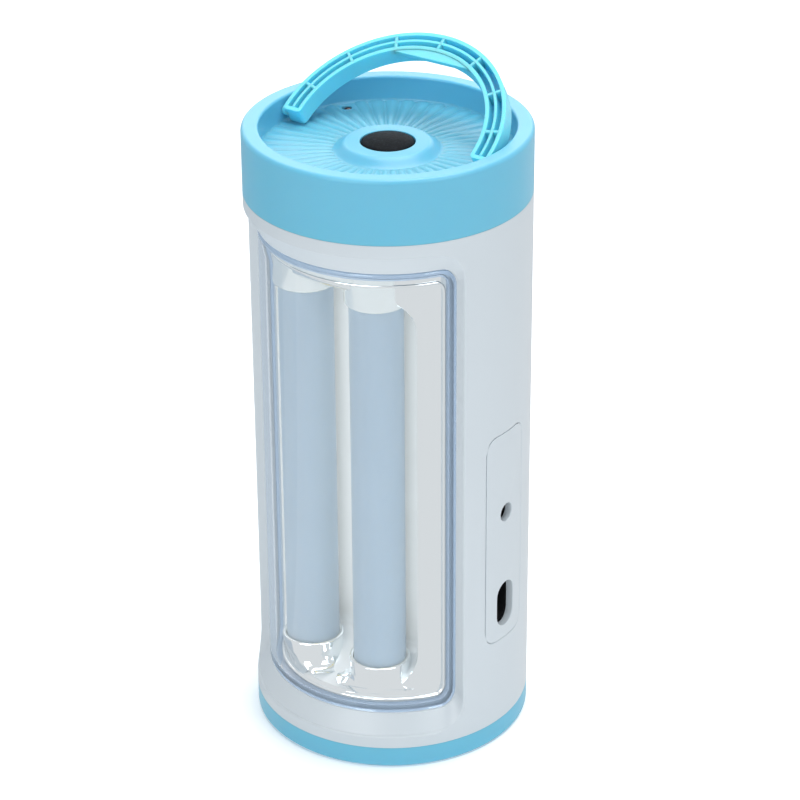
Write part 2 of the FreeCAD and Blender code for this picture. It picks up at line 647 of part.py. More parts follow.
def make_top_cap():
    body = turned("cap_body", [
        ("button_radius + run_gap", "floor_under"),
        ("button_radius + run_gap", "boss_top"),
        ("boss_top_radius", "boss_top"),
        ("boss_foot_radius", "floor_top"),
        ("recess_radius", "floor_top"),
        ("recess_radius", "rim_top"),
        ("body_radius", "rim_top"),
        ("body_radius", "cap_seam"),
        ("skirt_radius", "cap_seam"),
        ("skirt_radius", "cap_seam - skirt_depth"),
        ("skirt_inner", "cap_seam - skirt_depth"),
        ("skirt_inner", "floor_under"),
    ])
    round_edges(body, "rim_edge", circle_at("body_radius", "rim_top"))
    bevel_edges(body, "rim_inner_edge", circle_at("recess_radius", "rim_top"))
    bevel_edges(body, "boss_edge", circle_at("boss_top_radius", "boss_top"))
    inner_end = "boss_foot_radius - boss_edge"
    outer_end = "recess_radius + boss_edge"
    sketch = outline(body, "cap_ray_outline", "XY_Plane", [
        (inner_end, "-ray_inner_width / 2"),
        (outer_end, "-ray_outer_width / 2"),
        (outer_end, "ray_outer_width / 2"),
        (inner_end, "ray_inner_width / 2"),
    ])
    sketch.setExpression("AttachmentOffset.Base.z", formula("floor_top"))
    ray = body.newObject("PartDesign::Pad", "cap_ray")
    ray.Profile = sketch
    bind(ray, Length="ray_height", TaperAngle="-ray_slope")
    rays = body.newObject("PartDesign::PolarPattern", "cap_rays")
    rays.Originals = [ray]
    rays.Axis = (sketch, ["N_Axis"])
    bind(rays, Angle=FULL_TURN, Occurrences="ray_count")
    body.Tip = rays
    posts = [rod("cap_post_%d" % index, "post_radius", "switch_board_top", "floor_under + floor_thickness / 2",
                 "z", (x, "0")) for index, x in enumerate(SWITCH_POSTS)]
    pilots = [rod("cap_pilot_%d" % index, "pilot_radius", "switch_board_top - " + SPARE, "floor_under",
                  "z", (x, "0")) for index, x in enumerate(SWITCH_POSTS)]
    pin_end = "recess_radius + pin_reach + run_gap"
    pivots = [rod("cap_pivot_left", "pin_radius + pin_gap", "-(%s)" % pin_end, "-handle_radius", "x",
                  ("0", "pivot_height")),
              rod("cap_pivot_right", "pin_radius + pin_gap", "handle_radius", pin_end, "x",
                  ("0", "pivot_height"))]
    indicator = rod("cap_indicator_hole", "indicator_radius + fit_gap", "floor_under - " + SPARE,
                    "floor_top + boss_height", "z", ("indicator_x", "indicator_y"))
    solid = join("cap_with_posts", body, *posts)
    return piece("top_cap", remove("cap", solid, indicator, *(pilots + pivots)))


def make_carry_handle():
    """The arch lies flat here, open side up, and is tilted into its place at the end."""
    face_low = "-handle_face"
    face_high = "handle_face"
    centre = ("0", "handle_rise")
    disc = rod("handle_disc", "handle_radius", face_low, face_high, "z", centre)
    arch = overlap("handle_half_disc", disc,
                   block("handle_upper_half", ("-handle_radius", "handle_radius"),
                         ("handle_rise", "handle_rise + handle_radius"), (face_low, face_high)))
    legs = []
    for side, sign in (("left", "-1"), ("right", "1")):
        middle = "%s * (handle_radius + handle_inner) / 2" % sign
        legs.append(padded("handle_leg_" + side, "YZ_Plane", [
            ("-handle_tail", "-handle_face + handle_end_chamfer"),
            ("-handle_tail + handle_end_chamfer", "-handle_face"),
            ("handle_rise", "-handle_face"),
            ("handle_rise", "handle_face"),
            ("-handle_tail + handle_end_chamfer", "handle_face"),
            ("-handle_tail", "handle_face - handle_end_chamfer"),
        ], middle + " - handle_band / 2", "handle_band"))
    hole = rod("handle_opening", "handle_inner", face_low + " - " + SPARE, face_high + " + " + SPARE, "z", centre)
    band = join("handle_band_blank", remove("handle_arch", arch, hole), *legs)
    tab_low = "handle_face - tab_depth"
    segment = overlap("handle_tab_segment",
                      rod("handle_tab_disc", "handle_inner + handle_wall / 2", tab_low, face_high, "z", centre),
                      block("handle_tab_side", ("-handle_radius", "handle_radius"),
                            ("handle_rise + tab_chord", "handle_rise + handle_radius"), (tab_low, face_high)))
    tab_hollow = overlap("handle_tab_hollow",
                         rod("handle_tab_hollow_disc", "handle_inner", tab_low + " + tab_wall",
                             face_high + " + " + SPARE, "z", centre),
                         block("handle_tab_hollow_side", ("-handle_radius", "handle_radius"),
                               ("handle_rise + tab_chord + tab_wall", "handle_rise + handle_radius"),
                               (tab_low, face_high + " + " + SPARE)))
    floor = "handle_face - channel_depth"
    top = "handle_face + " + SPARE
    spans = [("outer", "web_middle + handle_web / 2", "channel_outer"),
             ("inner", "channel_inner", "web_middle - handle_web / 2")]
    channels = []
    for name, small, large in spans:
        outer = rod("handle_channel_%s_disc" % name, large, floor, top, "z", centre)
        inner = rod("handle_channel_%s_core" % name, small, floor + " - " + SPARE, top + " + " + SPARE, "z", centre)
        arc = overlap("handle_channel_%s_arc" % name, remove("handle_channel_%s_ring" % name, outer, inner),
                      block("handle_channel_%s_half" % name, ("-handle_radius", "handle_radius"),
                            ("handle_rise", "handle_rise + handle_radius"), (floor, top)))
        channels.append(arc)
        for side, sign in (("left", "-1"), ("right", "1")):
            low = "%s * (%s + %s) / 2 - (%s - %s) / 2" % (sign, large, small, large, small)
            high = "%s * (%s + %s) / 2 + (%s - %s) / 2" % (sign, large, small, large, small)
            channels.append(block("handle_channel_%s_%s" % (name, side), (low, high),
                                  ("-handle_tail + handle_end_wall", "handle_rise"), (floor, top)))
    ribs = []
    for index in range(int(value("rib_count"))):
        rib = block("handle_rib_%d" % index, ("handle_inner", "handle_radius"),
                    ("-rib_thickness / 2", "rib_thickness / 2"), (floor + " - " + SPARE, top + " + " + SPARE))
        ribs.append(turn(group("handle_rib_%d_turned" % index, rib),
                         "90 + (%d - (rib_count - 1) / 2) * rib_step" % index))
        place(ribs[-1], "0", "handle_rise", "0")
    cells = remove("handle_cells", join("handle_channels", *channels), *ribs)
    pins = [rod("handle_pin_left", "pin_radius", "-(recess_radius + pin_reach)", "-(handle_radius - handle_wall)", "x"),
            rod("handle_pin_right", "pin_radius", "handle_radius - handle_wall", "recess_radius + pin_reach", "x")]
    flat = remove("handle_flat", join("handle_blank", band, segment, *pins), cells, tab_hollow)
    handle = group("handle", flat)
    handle.Placement = FreeCAD.Placement(FreeCAD.Vector(), FreeCAD.Rotation(FreeCAD.Vector(1, 0, 0), 1))
    handle.setExpression("Placement.Rotation.Angle", formula("90 - handle_tilt"))
    place(handle, "0", "0", "pivot_height")
    return piece("carry_handle", handle)


def make_button_and_switch():
    inside = "button_radius - button_wall"
    piece("button_cap", turned("button", [
        ("0", "stem_under"),
        ("stem_radius", "stem_under"),
        ("stem_radius", "button_edge - button_wall"),
        (inside, "button_edge - button_wall"),
        (inside, "flange_under"),
        ("button_radius + button_flange", "flange_under"),
        ("button_radius + button_flange", "flange_top"),
        ("button_radius", "flange_top"),
        ("button_radius", "button_edge", "dome"),
        ("0", "button_edge + button_dome"),
    ]))
    piece("switch_plunger", rod("plunger", "plunger_radius", "plunger_under", "stem_under"))
    half = "switch_width / 2"
    case = block("switch_case", ("-" + half, half), ("-" + half, half),
                 ("switch_board_top", "switch_board_top + switch_height"))
    bore = rod("switch_bore", "plunger_radius + run_gap", "switch_board_top + switch_floor",
               "switch_board_top + switch_height + " + SPARE)
    piece("switch_body", remove("switch", case, bore))
    board_low = "switch_board_top - board_thickness"
    far = "switch_post_spread + switch_board_margin"
    main_part = block("switch_board_main", ("-(%s)" % far, far),
                      ("-switch_board_half_width", "switch_board_half_width"), (board_low, "switch_board_top"))
    arm = block("switch_board_arm", ("indicator_x - switch_board_margin", "-switch_post_spread"),
                ("0", "indicator_y + switch_board_margin"), (board_low, "switch_board_top"))
    disc = rod("switch_board_disc", "skirt_inner - 2 * run_gap", board_low, "switch_board_top")
    holes = [rod("switch_board_hole_%d" % index, "pilot_radius", board_low + " - " + SPARE,
                 "switch_board_top + " + SPARE, "z", (x, "0")) for index, x in enumerate(SWITCH_POSTS)]
    blank = overlap("switch_board_blank", join("switch_board_outline", main_part, arm), disc)
    piece("switch_board", remove("switch_board_drilled", blank, *holes))
    screws = [screw("switch_board_screw_%d" % index, "floor_under - switch_board_top - %s" % SPARE, x, "0", board_low)
              for index, x in enumerate(SWITCH_POSTS)]
    piece("switch_board_screws", group("switch_screws", *screws))
    lamp_top = "floor_top"
    lamp_foot = "floor_under - indicator_radius * 2"
    lamp = turned("indicator_lamp", [
        ("0", lamp_foot),
        ("indicator_radius * 1.3", lamp_foot),
        ("indicator_radius * 1.3", lamp_foot + " + indicator_radius"),
        ("indicator_radius", lamp_foot + " + indicator_radius"),
        ("indicator_radius", lamp_top + " - indicator_radius / 2", "dome"),
        ("0", lamp_top),
    ])
    place(lamp, "indicator_x", "indicator_y", "0")
    lead = "indicator_radius * 0.6"
    leads = [rod("indicator_lead_" + side, "indicator_radius / 5", "switch_board_top",
                 lamp_foot + " + indicator_radius / 2", "z", ("indicator_x %s %s" % (sign, lead), "indicator_y"))
             for side, sign in (("left", "-"), ("right", "+"))]
    return piece("indicator_led", join("indicator", lamp, *leads))


def make_lens_cover():
    face = window_sector("lens_block", "lens_back", "lens_radius", "fit_gap")
    round_edges(face, "window_corner - fit_gap", radial)
    hollow = window_sector("lens_hollow", "lens_back - " + SPARE, "lens_inner", "fit_gap + lens_thickness")
    round_edges(hollow, "window_corner - fit_gap - lens_thickness", radial)
    flange = window_sector("lens_flange_block", "lens_back", "collar_radius - fit_gap", "-lens_flange")
    return piece("lens_cover", remove("lens", join("lens_blank", face, flange), hollow))


def trough(name, grow, front):
    """The tapered space around the light tubes, larger all round by a growth."""
    half = "trough_half_width + (%s)" % grow
    low = "trough_low - (%s)" % grow
    high = "trough_high + (%s)" % grow
    corners = [("-(%s)" % half, low), (half, low), (half, high), ("-(%s)" % half, high)]
    start = "trough_back - (%s)" % grow
    form = padded(name, "XZ_Plane", corners, start, "lens_radius - trough_back + (%s)" % grow, "trough_taper")
    round_edges(form, "trough_corner + (%s)" % grow, along_y)
    limit = rod(name + "_limit", front, "base_height", "cap_seam")
    return overlap(name + "_trimmed", form, limit)


def make_reflector():
    frame = window_sector("mirror_frame", "mirror_back", "mirror_face", "-lens_flange")
    ears = []
    ear_holes = []
    for index, (angle, height) in enumerate(EAR_PLACES):
        ear = ring("mirror_ear_%d" % index, "mirror_back", "mirror_face", "%s - ear_half_width" % height,
                   "%s + ear_half_width" % height, "ear_half_width / lens_radius * " + DEGREES_PER_RADIAN + " * 1.6")
        ears.append(turn(ear, "%s + 90" % angle))
        hole = rod("mirror_ear_hole_%d" % index, "pilot_radius", "mirror_back - " + SPARE,
                   "mirror_face + " + SPARE, "x", ("0", height))
        ear_holes.append(turn(group("mirror_ear_hole_%d_turned" % index, hole), angle))
    shell = trough("mirror_trough", "mirror_wall", "mirror_face")
    space = trough("mirror_space", "0", "lens_radius")
    cups = []
    bores = []
    for side, x in SIDES:
        spot = (x, "-tube_forward")
        cups.append(rod("mirror_lower_cup_" + side, "cup_radius", "tube_foot - cup_wall", "tube_low", "z", spot))
        cups.append(rod("mirror_upper_cup_" + side, "cup_radius", "tube_high", "tube_head + cup_wall", "z", spot))
        foot = doc.addObject("Part::Cone", "mirror_cup_foot_" + side)
        bind(foot, Radius1="cup_foot", Radius2="cup_radius", Height="cup_foot_height")
        place(foot, x, "-tube_forward", "tube_foot - cup_foot_height")
        cups.append(overlap("mirror_cup_foot_%s_trimmed" % side, foot, shell))
        bores.append(rod("mirror_lower_bore_" + side, "cup_bore", "tube_foot", "tube_low + " + SPARE, "z", spot))
        bores.append(rod("mirror_upper_bore_" + side, "cup_bore", "trough_high", "tube_head", "z", spot))
    limit = rod("mirror_cup_limit", "lens_inner - 2 * mirror_gap", "base_height", "cap_seam")
    opened = remove("mirror_opened", join("mirror_shell", frame, shell, *ears), space, *ear_holes)
    filled = join("mirror_filled", opened, overlap("mirror_cups", join("mirror_cup_blanks", *cups), limit))
    piece("reflector", remove("mirror", filled, *bores))
    screws = []
    for index, (angle, height) in enumerate(EAR_PLACES):
        straight = side_screw("reflector_screw_%d" % index, "reflector_screw_length", "mirror_back - fit_gap",
                              "0", height)
        screws.append(turn(group("reflector_screw_%d_turned" % index, straight), angle))
    return piece("reflector_screws", group("mirror_screws", *screws))


def make_light_tubes():
    caps = []
    for side, x in SIDES:
        spot = (x, "-tube_forward")
        outer = rod("tube_%s_outer" % side, "tube_radius", "tube_foot", "tube_head", "z", spot)
        inner = rod("tube_%s_inner" % side, "tube_radius - tube_wall", "tube_foot - " + SPARE,
                    "tube_head + " + SPARE, "z", spot)
        piece("tube_diffuser_" + side, remove("tube_" + side, outer, inner))
        plug_radius = "tube_radius - tube_wall - fit_gap / 2"
        caps.append(rod("tube_%s_lower_plug" % side, plug_radius, "tube_foot", "strip_foot", "z", spot))
        caps.append(rod("tube_%s_upper_plug" % side, plug_radius, "strip_head", "tube_head", "z", spot))
        strip_face = "-tube_forward + strip_back - board_thickness"
        piece("led_strip_" + side, block("strip_" + side, (x + " - strip_width / 2", x + " + strip_width / 2"),
                                         (strip_face, "-tube_forward + strip_back"), ("strip_foot", "strip_head")))
        chips = []
        for index in range(int(value("chip_count"))):
            middle = "strip_foot + (strip_head - strip_foot) * (%d + 0.5) / chip_count" % index
            chips.append(block("chip_%s_%d" % (side, index), (x + " - chip_width / 2", x + " + chip_width / 2"),
                               (strip_face + " - chip_height", strip_face),
                               (middle + " - chip_length / 2", middle + " + chip_length / 2")))
        piece("led_chips_" + side, group("chips_" + side, *chips))
    return piece("tube_end_caps", group("tube_plugs", *caps))


def make_sockets():
    half_dc = "dc_width / 2"
    body = block("dc_body", ("board_face", "socket_face"), ("-" + half_dc, half_dc),
                 ("dc_height - dc_tall / 2", "dc_height + dc_tall / 2"))
    bore = rod("dc_bore", "dc_bore_radius", "socket_face - dc_bore_depth", "socket_face + " + SPARE, "x",
               ("0", "dc_height"))
    piece("dc_jack", remove("dc", body, bore))
    piece("dc_jack_pin", rod("dc_pin", "dc_pin_radius", "socket_face - dc_bore_depth", "socket_face - dc_pin_radius",
                             "x", ("0", "dc_height")))
    shell = slot_tool("ac_shell_block", "ac_half_length + ac_shell", "ac_half_width + ac_shell", "board_face",
                      "socket_face", "ac_height")
    well = slot_tool("ac_well", "ac_half_length - fit_gap", "ac_half_width - fit_gap", "socket_face - ac_well_depth",
                     "socket_face + " + SPARE, "ac_height")
    piece("ac_inlet", remove("ac", shell, well))
    pins = [rod("ac_pin_" + side, "ac_pin_radius", "socket_face - ac_well_depth",
                "socket_face - ac_well_depth + ac_pin_length", "x", ("0", "ac_height %s ac_pin_spread" % sign))
            for side, sign in (("lower", "-"), ("upper", "+"))]
    return piece("ac_inlet_pins", group("ac_pins", *pins))


def make_main_board():
    back = "board_face - board_thickness"
    plate = block("board_plate", (back, "board_face"), ("board_front", "board_rear"), ("board_low", "board_high"))
    holes = [rod("board_hole_%d" % index, "pilot_radius", back + " - " + SPARE, "board_face + " + SPARE, "x", spot)
             for index, spot in enumerate(BOARD_SCREWS)]
    piece("main_board", remove("board", plate, *holes))
    screws = [side_screw("board_screw_%d" % index, "board_screw_length", back, y, z)
              for index, (y, z) in enumerate(BOARD_SCREWS)]
    piece("board_screws", group("board_fasteners", *screws))
    dropper_low = "dc_height + dc_tall / 2 + dropper_gap"
    tall = ("board_face", "board_face + component_height")
    dropper = block("board_dropper", tall, ("-dropper_width / 2", "dropper_width / 2"),
                    (dropper_low, dropper_low + " + dropper_length"))
    reservoirs = [rod("board_reservoir_%d" % index, "reservoir_radius", tall[0], tall[1], "x",
                      ("component_row", "ac_height + reservoir_lift + %d * reservoir_step" % index))
                  for index in range(2)]
    piece("board_capacitors", group("capacitors", dropper, *reservoirs))
    diodes = []
    for index in range(int(value("diode_count"))):
        low = "dc_height - diode_drop + %d * diode_step" % index
        diodes.append(block("board_diode_%d" % index, ("board_face", "board_face + diode_width"),
                            ("component_row - diode_length / 2", "component_row + diode_length / 2"),
                            (low, low + " + diode_width")))
    return piece("board_diodes", group("diodes", *diodes))


def make_battery():
    corners = [("battery_left", "battery_front"), ("battery_right", "battery_front"),
               ("battery_right", "battery_rear"), ("battery_left", "battery_rear")]
    case = padded("battery_case", "XY_Plane", corners, "base_floor", "battery_height")
    round_edges(case, "battery_edge", lambda edge: abs(edge.Vertexes[0].Z - edge.Vertexes[-1].Z) > 0.01)
    piece("battery", case)
    middle_y = "battery_front + battery_depth / 2"
    tabs = []
    for side, x in (("left", "battery_left + terminal_inset"), ("right", "battery_right - terminal_inset")):
        tabs.append(block("terminal_" + side, (x + " - terminal_width / 2", x + " + terminal_width / 2"),
                          (middle_y + " - terminal_thickness / 2", middle_y + " + terminal_thickness / 2"),
                          ("battery_top", "battery_top + terminal_height")))
    piece("battery_terminals", group("terminals", *tabs))
    middle_x = "battery_left + battery_width / 2"
    return piece("battery_pad", block("pad", (middle_x + " - pad_width / 2", middle_x + " + pad_width / 2"),
                                      ("battery_front + battery_edge", "battery_rear - battery_edge"),
                                      ("battery_top", "shelf_under")))


def make_base_cap():
    body = turned("base_body", [
        ("0", "base_hollow"),
        ("foot_inner_radius", "base_hollow"),
        ("foot_inner_radius", "0"),
        ("body_radius", "0"),
        ("body_radius", "base_height"),
        ("skirt_radius", "base_height"),
        ("skirt_radius", "lip_top"),
        ("skirt_inner", "lip_top"),
        ("skirt_inner", "base_floor"),
        ("0", "base_floor"),
    ])
    bevel_edges(body, "foot_edge", circle_at("body_radius", "0"))
    posts = []
    holes = []
    screws = []
    for index, angle in enumerate(BASE_SCREW_TURNS):
        spot = on_circle("base_screw_circle", angle)
        posts.append(rod("base_post_%d" % index, "base_post_radius", "base_hollow", "base_post_top", "z", spot))
        holes.append(rod("base_well_%d" % index, "sink_radius", "-" + SPARE, "base_sink_depth", "z", spot))
        holes.append(rod("base_hole_%d" % index, "pilot_radius", "0", "base_post_top + " + SPARE, "z", spot))
        screws.append(screw("base_screw_%d" % index, "base_screw_length", spot[0], spot[1], "base_sink_depth"))
    outer = block("cradle_outer", ("battery_left - cradle_reach", "battery_right + cradle_reach"),
                  ("battery_front - cradle_reach", "battery_rear + cradle_reach"),
                  ("base_hollow", "base_floor + cradle_height"))
    inner = block("cradle_inner", ("battery_left - fit_gap", "battery_right + fit_gap"),
                  ("battery_front - fit_gap", "battery_rear + fit_gap"),
                  ("base_floor", "base_floor + cradle_height + " + SPARE))
    plug = rod("base_plug", "skirt_radius", "base_hollow", "rim_top")
    inside = overlap("base_inner_parts", join("base_inner_blanks", remove("cradle", outer, inner), *posts), plug)
    piece("base_cap", remove("base", join("base_solid", body, inside), *holes))
    return piece("base_screws", group("base_fasteners", *screws))


def check_and_write():
    """Stop on any failed object, then write each piece to its own file."""
    doc.recompute()
    for thing in doc.Objects:
        if "Invalid" in thing.State or "Error" in thing.State:
            raise RuntimeError("%s did not build" % thing.Name)
    os.makedirs("parts", exist_ok=True)
    for thing in PIECES:
        shape = thing.Shape
        if shape.isNull() or not shape.isValid() or not shape.Solids:
            raise RuntimeError("%s is not a sound solid" % thing.Label)
    for thing in PIECES:
        thing.Shape.exportStep("parts/%s.step" % thing.Label)
        print("%-22s solids %2d  volume %10.1f" % (thing.Label, len(thing.Shape.Solids), thing.Shape.Volume))


make_main_housing()
make_port_panel()
make_top_cap()
make_carry_handle()
make_button_and_switch()
make_lens_cover()
make_reflector()
make_light_tubes()
make_sockets()
make_main_board()
make_battery()
make_base_cap()
check_and_write()
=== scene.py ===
"""A rechargeable camping lantern: white tube, blue cap and base, clear window over two light tubes.

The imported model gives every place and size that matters. This file dresses it: moulded shells,
plated reflector, clear window, frosted tubes and rubber button, with a plain studio around them.
"""

import json
import math

import bmesh
import bpy
from bpy.props import FloatProperty, FloatVectorProperty, IntProperty, PointerProperty
from mathutils import Matrix, Vector


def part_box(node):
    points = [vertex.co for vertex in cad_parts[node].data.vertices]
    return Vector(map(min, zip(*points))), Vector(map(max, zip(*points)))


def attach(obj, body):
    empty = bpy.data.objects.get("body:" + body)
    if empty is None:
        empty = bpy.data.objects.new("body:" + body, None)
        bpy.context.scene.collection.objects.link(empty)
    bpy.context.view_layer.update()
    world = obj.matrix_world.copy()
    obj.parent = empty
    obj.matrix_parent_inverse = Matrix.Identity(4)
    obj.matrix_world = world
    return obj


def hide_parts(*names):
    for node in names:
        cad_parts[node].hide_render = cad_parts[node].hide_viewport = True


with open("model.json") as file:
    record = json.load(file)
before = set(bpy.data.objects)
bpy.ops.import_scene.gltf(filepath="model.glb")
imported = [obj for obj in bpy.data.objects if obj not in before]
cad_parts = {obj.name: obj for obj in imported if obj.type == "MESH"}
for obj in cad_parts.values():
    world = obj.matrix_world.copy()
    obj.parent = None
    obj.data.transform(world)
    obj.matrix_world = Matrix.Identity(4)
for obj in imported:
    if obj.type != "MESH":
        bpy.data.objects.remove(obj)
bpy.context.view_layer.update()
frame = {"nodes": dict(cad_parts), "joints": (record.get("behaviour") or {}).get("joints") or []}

bl_info = {
    "name": "Camping lantern",
    "version": (1, 0, 0),
    "blender": (4, 5, 0),
    "location": "View3D > Sidebar > Lantern",
    "description": "Builds the looks of a camping lantern around its packed model",
    "category": "Object",
}

MM = 0.001
MERGE = 0.002 * MM
ROUND_STEPS = 144

HOUSING_LOW, HOUSING_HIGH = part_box("main_housing")
CAP_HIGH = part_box("top_cap")[1]
BUTTON_LOW, BUTTON_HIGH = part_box("button_cap")
TUBE_LOW, TUBE_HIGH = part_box("tube_diffuser_right")
JOINTS = {joint["name"]: joint for joint in frame["joints"]}
BODY_RADIUS = HOUSING_HIGH.x
PIVOT = Vector(JOINTS["handle_swing"]["pos_m"])

# The middle of the socket side on the unrolled outside
QUARTER = math.pi / 2 * BODY_RADIUS

# The soft edge at the seams, and how much of it its middle takes off
SEAM = 0.12 * MM
SEAM_ROUND = 0.3

# The cap's floor, and how far its collar's foot runs out on it
FLOOR_WALL = 2.0 * MM
COLLAR_FADE = 0.8 * MM

# The window frame's width behind the lens, in shares of its depth
FRAME_BORDER = 1.7

# Steps of a grid in each corner, and what lies between the corners
CORNER_STEPS = 6
INSIDE = slice(CORNER_STEPS, -CORNER_STEPS)

# Sections of round edges: spread and drop at each step, in shares of the edge's size.
# The panel's seat has them in millimetres, and the handle's ends have shift and inset.
MOUTH_EDGE = ((1.4, 0.0), (1.0, 0.0), (0.5, 0.13), (0.15, 0.5), (0.0, 1.0))
SEAT_EDGE = ((0.9, 0.0), (0.3, 0.0), (0.0, 0.25))
PANEL_EDGE = ((-1.0, 0.0), (-0.3, 0.3), (0.0, 1.0))
HOLE_EDGE = ((2.0, 0.0), (1.0, 0.0), (0.3, 0.3), (0.0, 1.0))
LENS_EDGE = ((2.0, 0.0), (1.0, 0.0), (0.4, 0.12), (0.1, 0.45), (0.0, 1.0))
LENS_INSIDE = ((0.0, 1.0), (0.3, 0.3), (1.0, 0.0))
TROUGH_EDGE = ((1.2, 0.0), (0.5, 0.12), (0.0, 0.6))
END_EDGE = ((0.0, 1.0), (0.12, 0.5), (0.45, 0.15), (1.0, 0.0))

# Places along a slope, in shares of it, and the trough's lip: share of the frame, drop in millimetres
MOUTH_SLOPE = (0.35, 0.7, 0.93)
TROUGH_SLOPE = (0.3, 0.55, 0.8, 0.95)
TROUGH_LIP = ((0.0, 0.7), (0.03, 0.25), (0.08, 0.05), (0.14, 0.0), (0.4, 0.0), (0.7, 0.0), (1.0, 0.0))

# Soft lights: name, place and width in metres, power in watts
SOFTBOXES = (
    ("key_light", (0.1, -1.6, 1.0), 1.2, 11.0),
    ("side_light", (1.6, -0.3, 0.9), 0.9, 7.0),
    ("top_light", (0.1, 0.25, 1.6), 1.2, 21.0),
    ("back_light", (-1.0, 1.4, 1.15), 1.9, 15.0),
)

# The finishes by slot, which the first step makes
FINISHES = {}


def linear(code):
    """A hex sRGB colour as linear red, green, blue and alpha."""
    shares = [int(code[i:i + 2], 16) / 255 for i in (0, 2, 4)]
    bent = [c / 12.92 if c <= 0.04045 else ((c + 0.055) / 1.055) ** 2.4 for c in shares]
    return (*bent, 1.0)


def size(name, description, millimetres):
    """A length that a user can change."""
    return FloatProperty(name=name, description=description, default=millimetres * MM,
                         subtype="DISTANCE", unit="LENGTH", precision=5)


def turn(name, description, degrees):
    """An angle that a user can change."""
    return FloatProperty(name=name, description=description, default=math.radians(degrees),
                         subtype="ANGLE", unit="ROTATION")


def paint(name, description, code):
    """A colour that a user can change."""
    return FloatVectorProperty(name=name, description=description, default=linear(code),
                               subtype="COLOR", size=4, min=0.0, max=1.0)


def level(name, description, value):
    """A strength that a user can change."""
    return FloatProperty(name=name, description=description, default=value,
                         subtype="FACTOR", min=0.0, max=1.0)


def amount(name, description, number):
    """A count that a user can change."""
    return IntProperty(name=name, description=description, default=number, min=1)


class LanternCapSizes(bpy.types.PropertyGroup):
    """Sizes of the blue cap, its floor and its button."""
    rim_width: size("Rim width", "Flat rim around the recess", 5.4)
    rim_edge: size("Rim edge", "Round outer edge of the rim", 1.4)
    inner_edge: size("Inner edge", "Round inner edge of the rim", 0.8)
    recess_depth: size("Recess depth", "From the rim to the floor", 8.4)
    floor_fillet: size("Floor fillet", "Round where the wall meets the floor", 1.0)
    collar_height: size("Collar height", "Raised collar around the button", 2.6)
    collar_top: size("Collar top", "Radius of the collar's flat top", 12.8)
    collar_foot: size("Collar foot", "Radius of the collar's foot", 16.6)
    hole: size("Button hole", "Radius of the button's hole", 8.55)
    ray_height: size("Ray height", "Height of a sun ray", 0.5)
    ray_inner: size("Ray at collar", "Width of a ray at the collar", 1.9)
    ray_outer: size("Ray at wall", "Width of a ray at the recess wall", 4.6)
    ray_count: amount("Rays", "Sun rays on the floor", 48)
    lamp_circle: size("Lamp circle", "Indicator lamp from the middle", 36.4)
    lamp_hole: size("Lamp hole", "Radius of the indicator's hole", 1.65)
    lamp_turn: turn("Lamp angle", "Indicator lamp, from the socket side", 145.5)
    dome: size("Button dome", "Rise of the button's dome", 1.3)
    button: size("Button radius", "Rubber button", 8.3)


class LanternHandleSizes(bpy.types.PropertyGroup):
    """Sizes of the ribbed handle."""
    outer: size("Outer radius", "Outside of the arch", 38.3)
    inner: size("Inner radius", "Inside of the arch", 31.7)
    depth: size("Depth", "Depth of the band", 6.0)
    wall: size("Wall", "Outer and inner walls", 1.25)
    web: size("Web", "Middle wall", 0.85)
    channel: size("Channel depth", "Open channels", 4.6)
    rise: size("Rise", "Arch centre above the pivot", 0.6)
    tail: size("Tail", "Ends below the pivot", 1.4)
    end_round: size("End round", "Round corners and wall of each end", 1.3)
    tilt: turn("Tilt", "Turn of the lying arch about the pivot", 32.0)
    rib: size("Rib", "Thickness of a cross rib", 0.95)
    rib_step: turn("Rib step", "Angle between cross ribs", 25.2)
    rib_count: amount("Ribs", "Cross ribs in the channels", 7)
    pin: size("Pin", "Radius of the pivot pins", 1.5)
    pin_end: size("Pin end", "End of the pivot pins from the middle", 42.2)
    tab_chord: size("Tab chord", "Finger edge from the arch centre", 28.5)
    tab_depth: size("Tab depth", "Depth of the finger tab", 1.5)


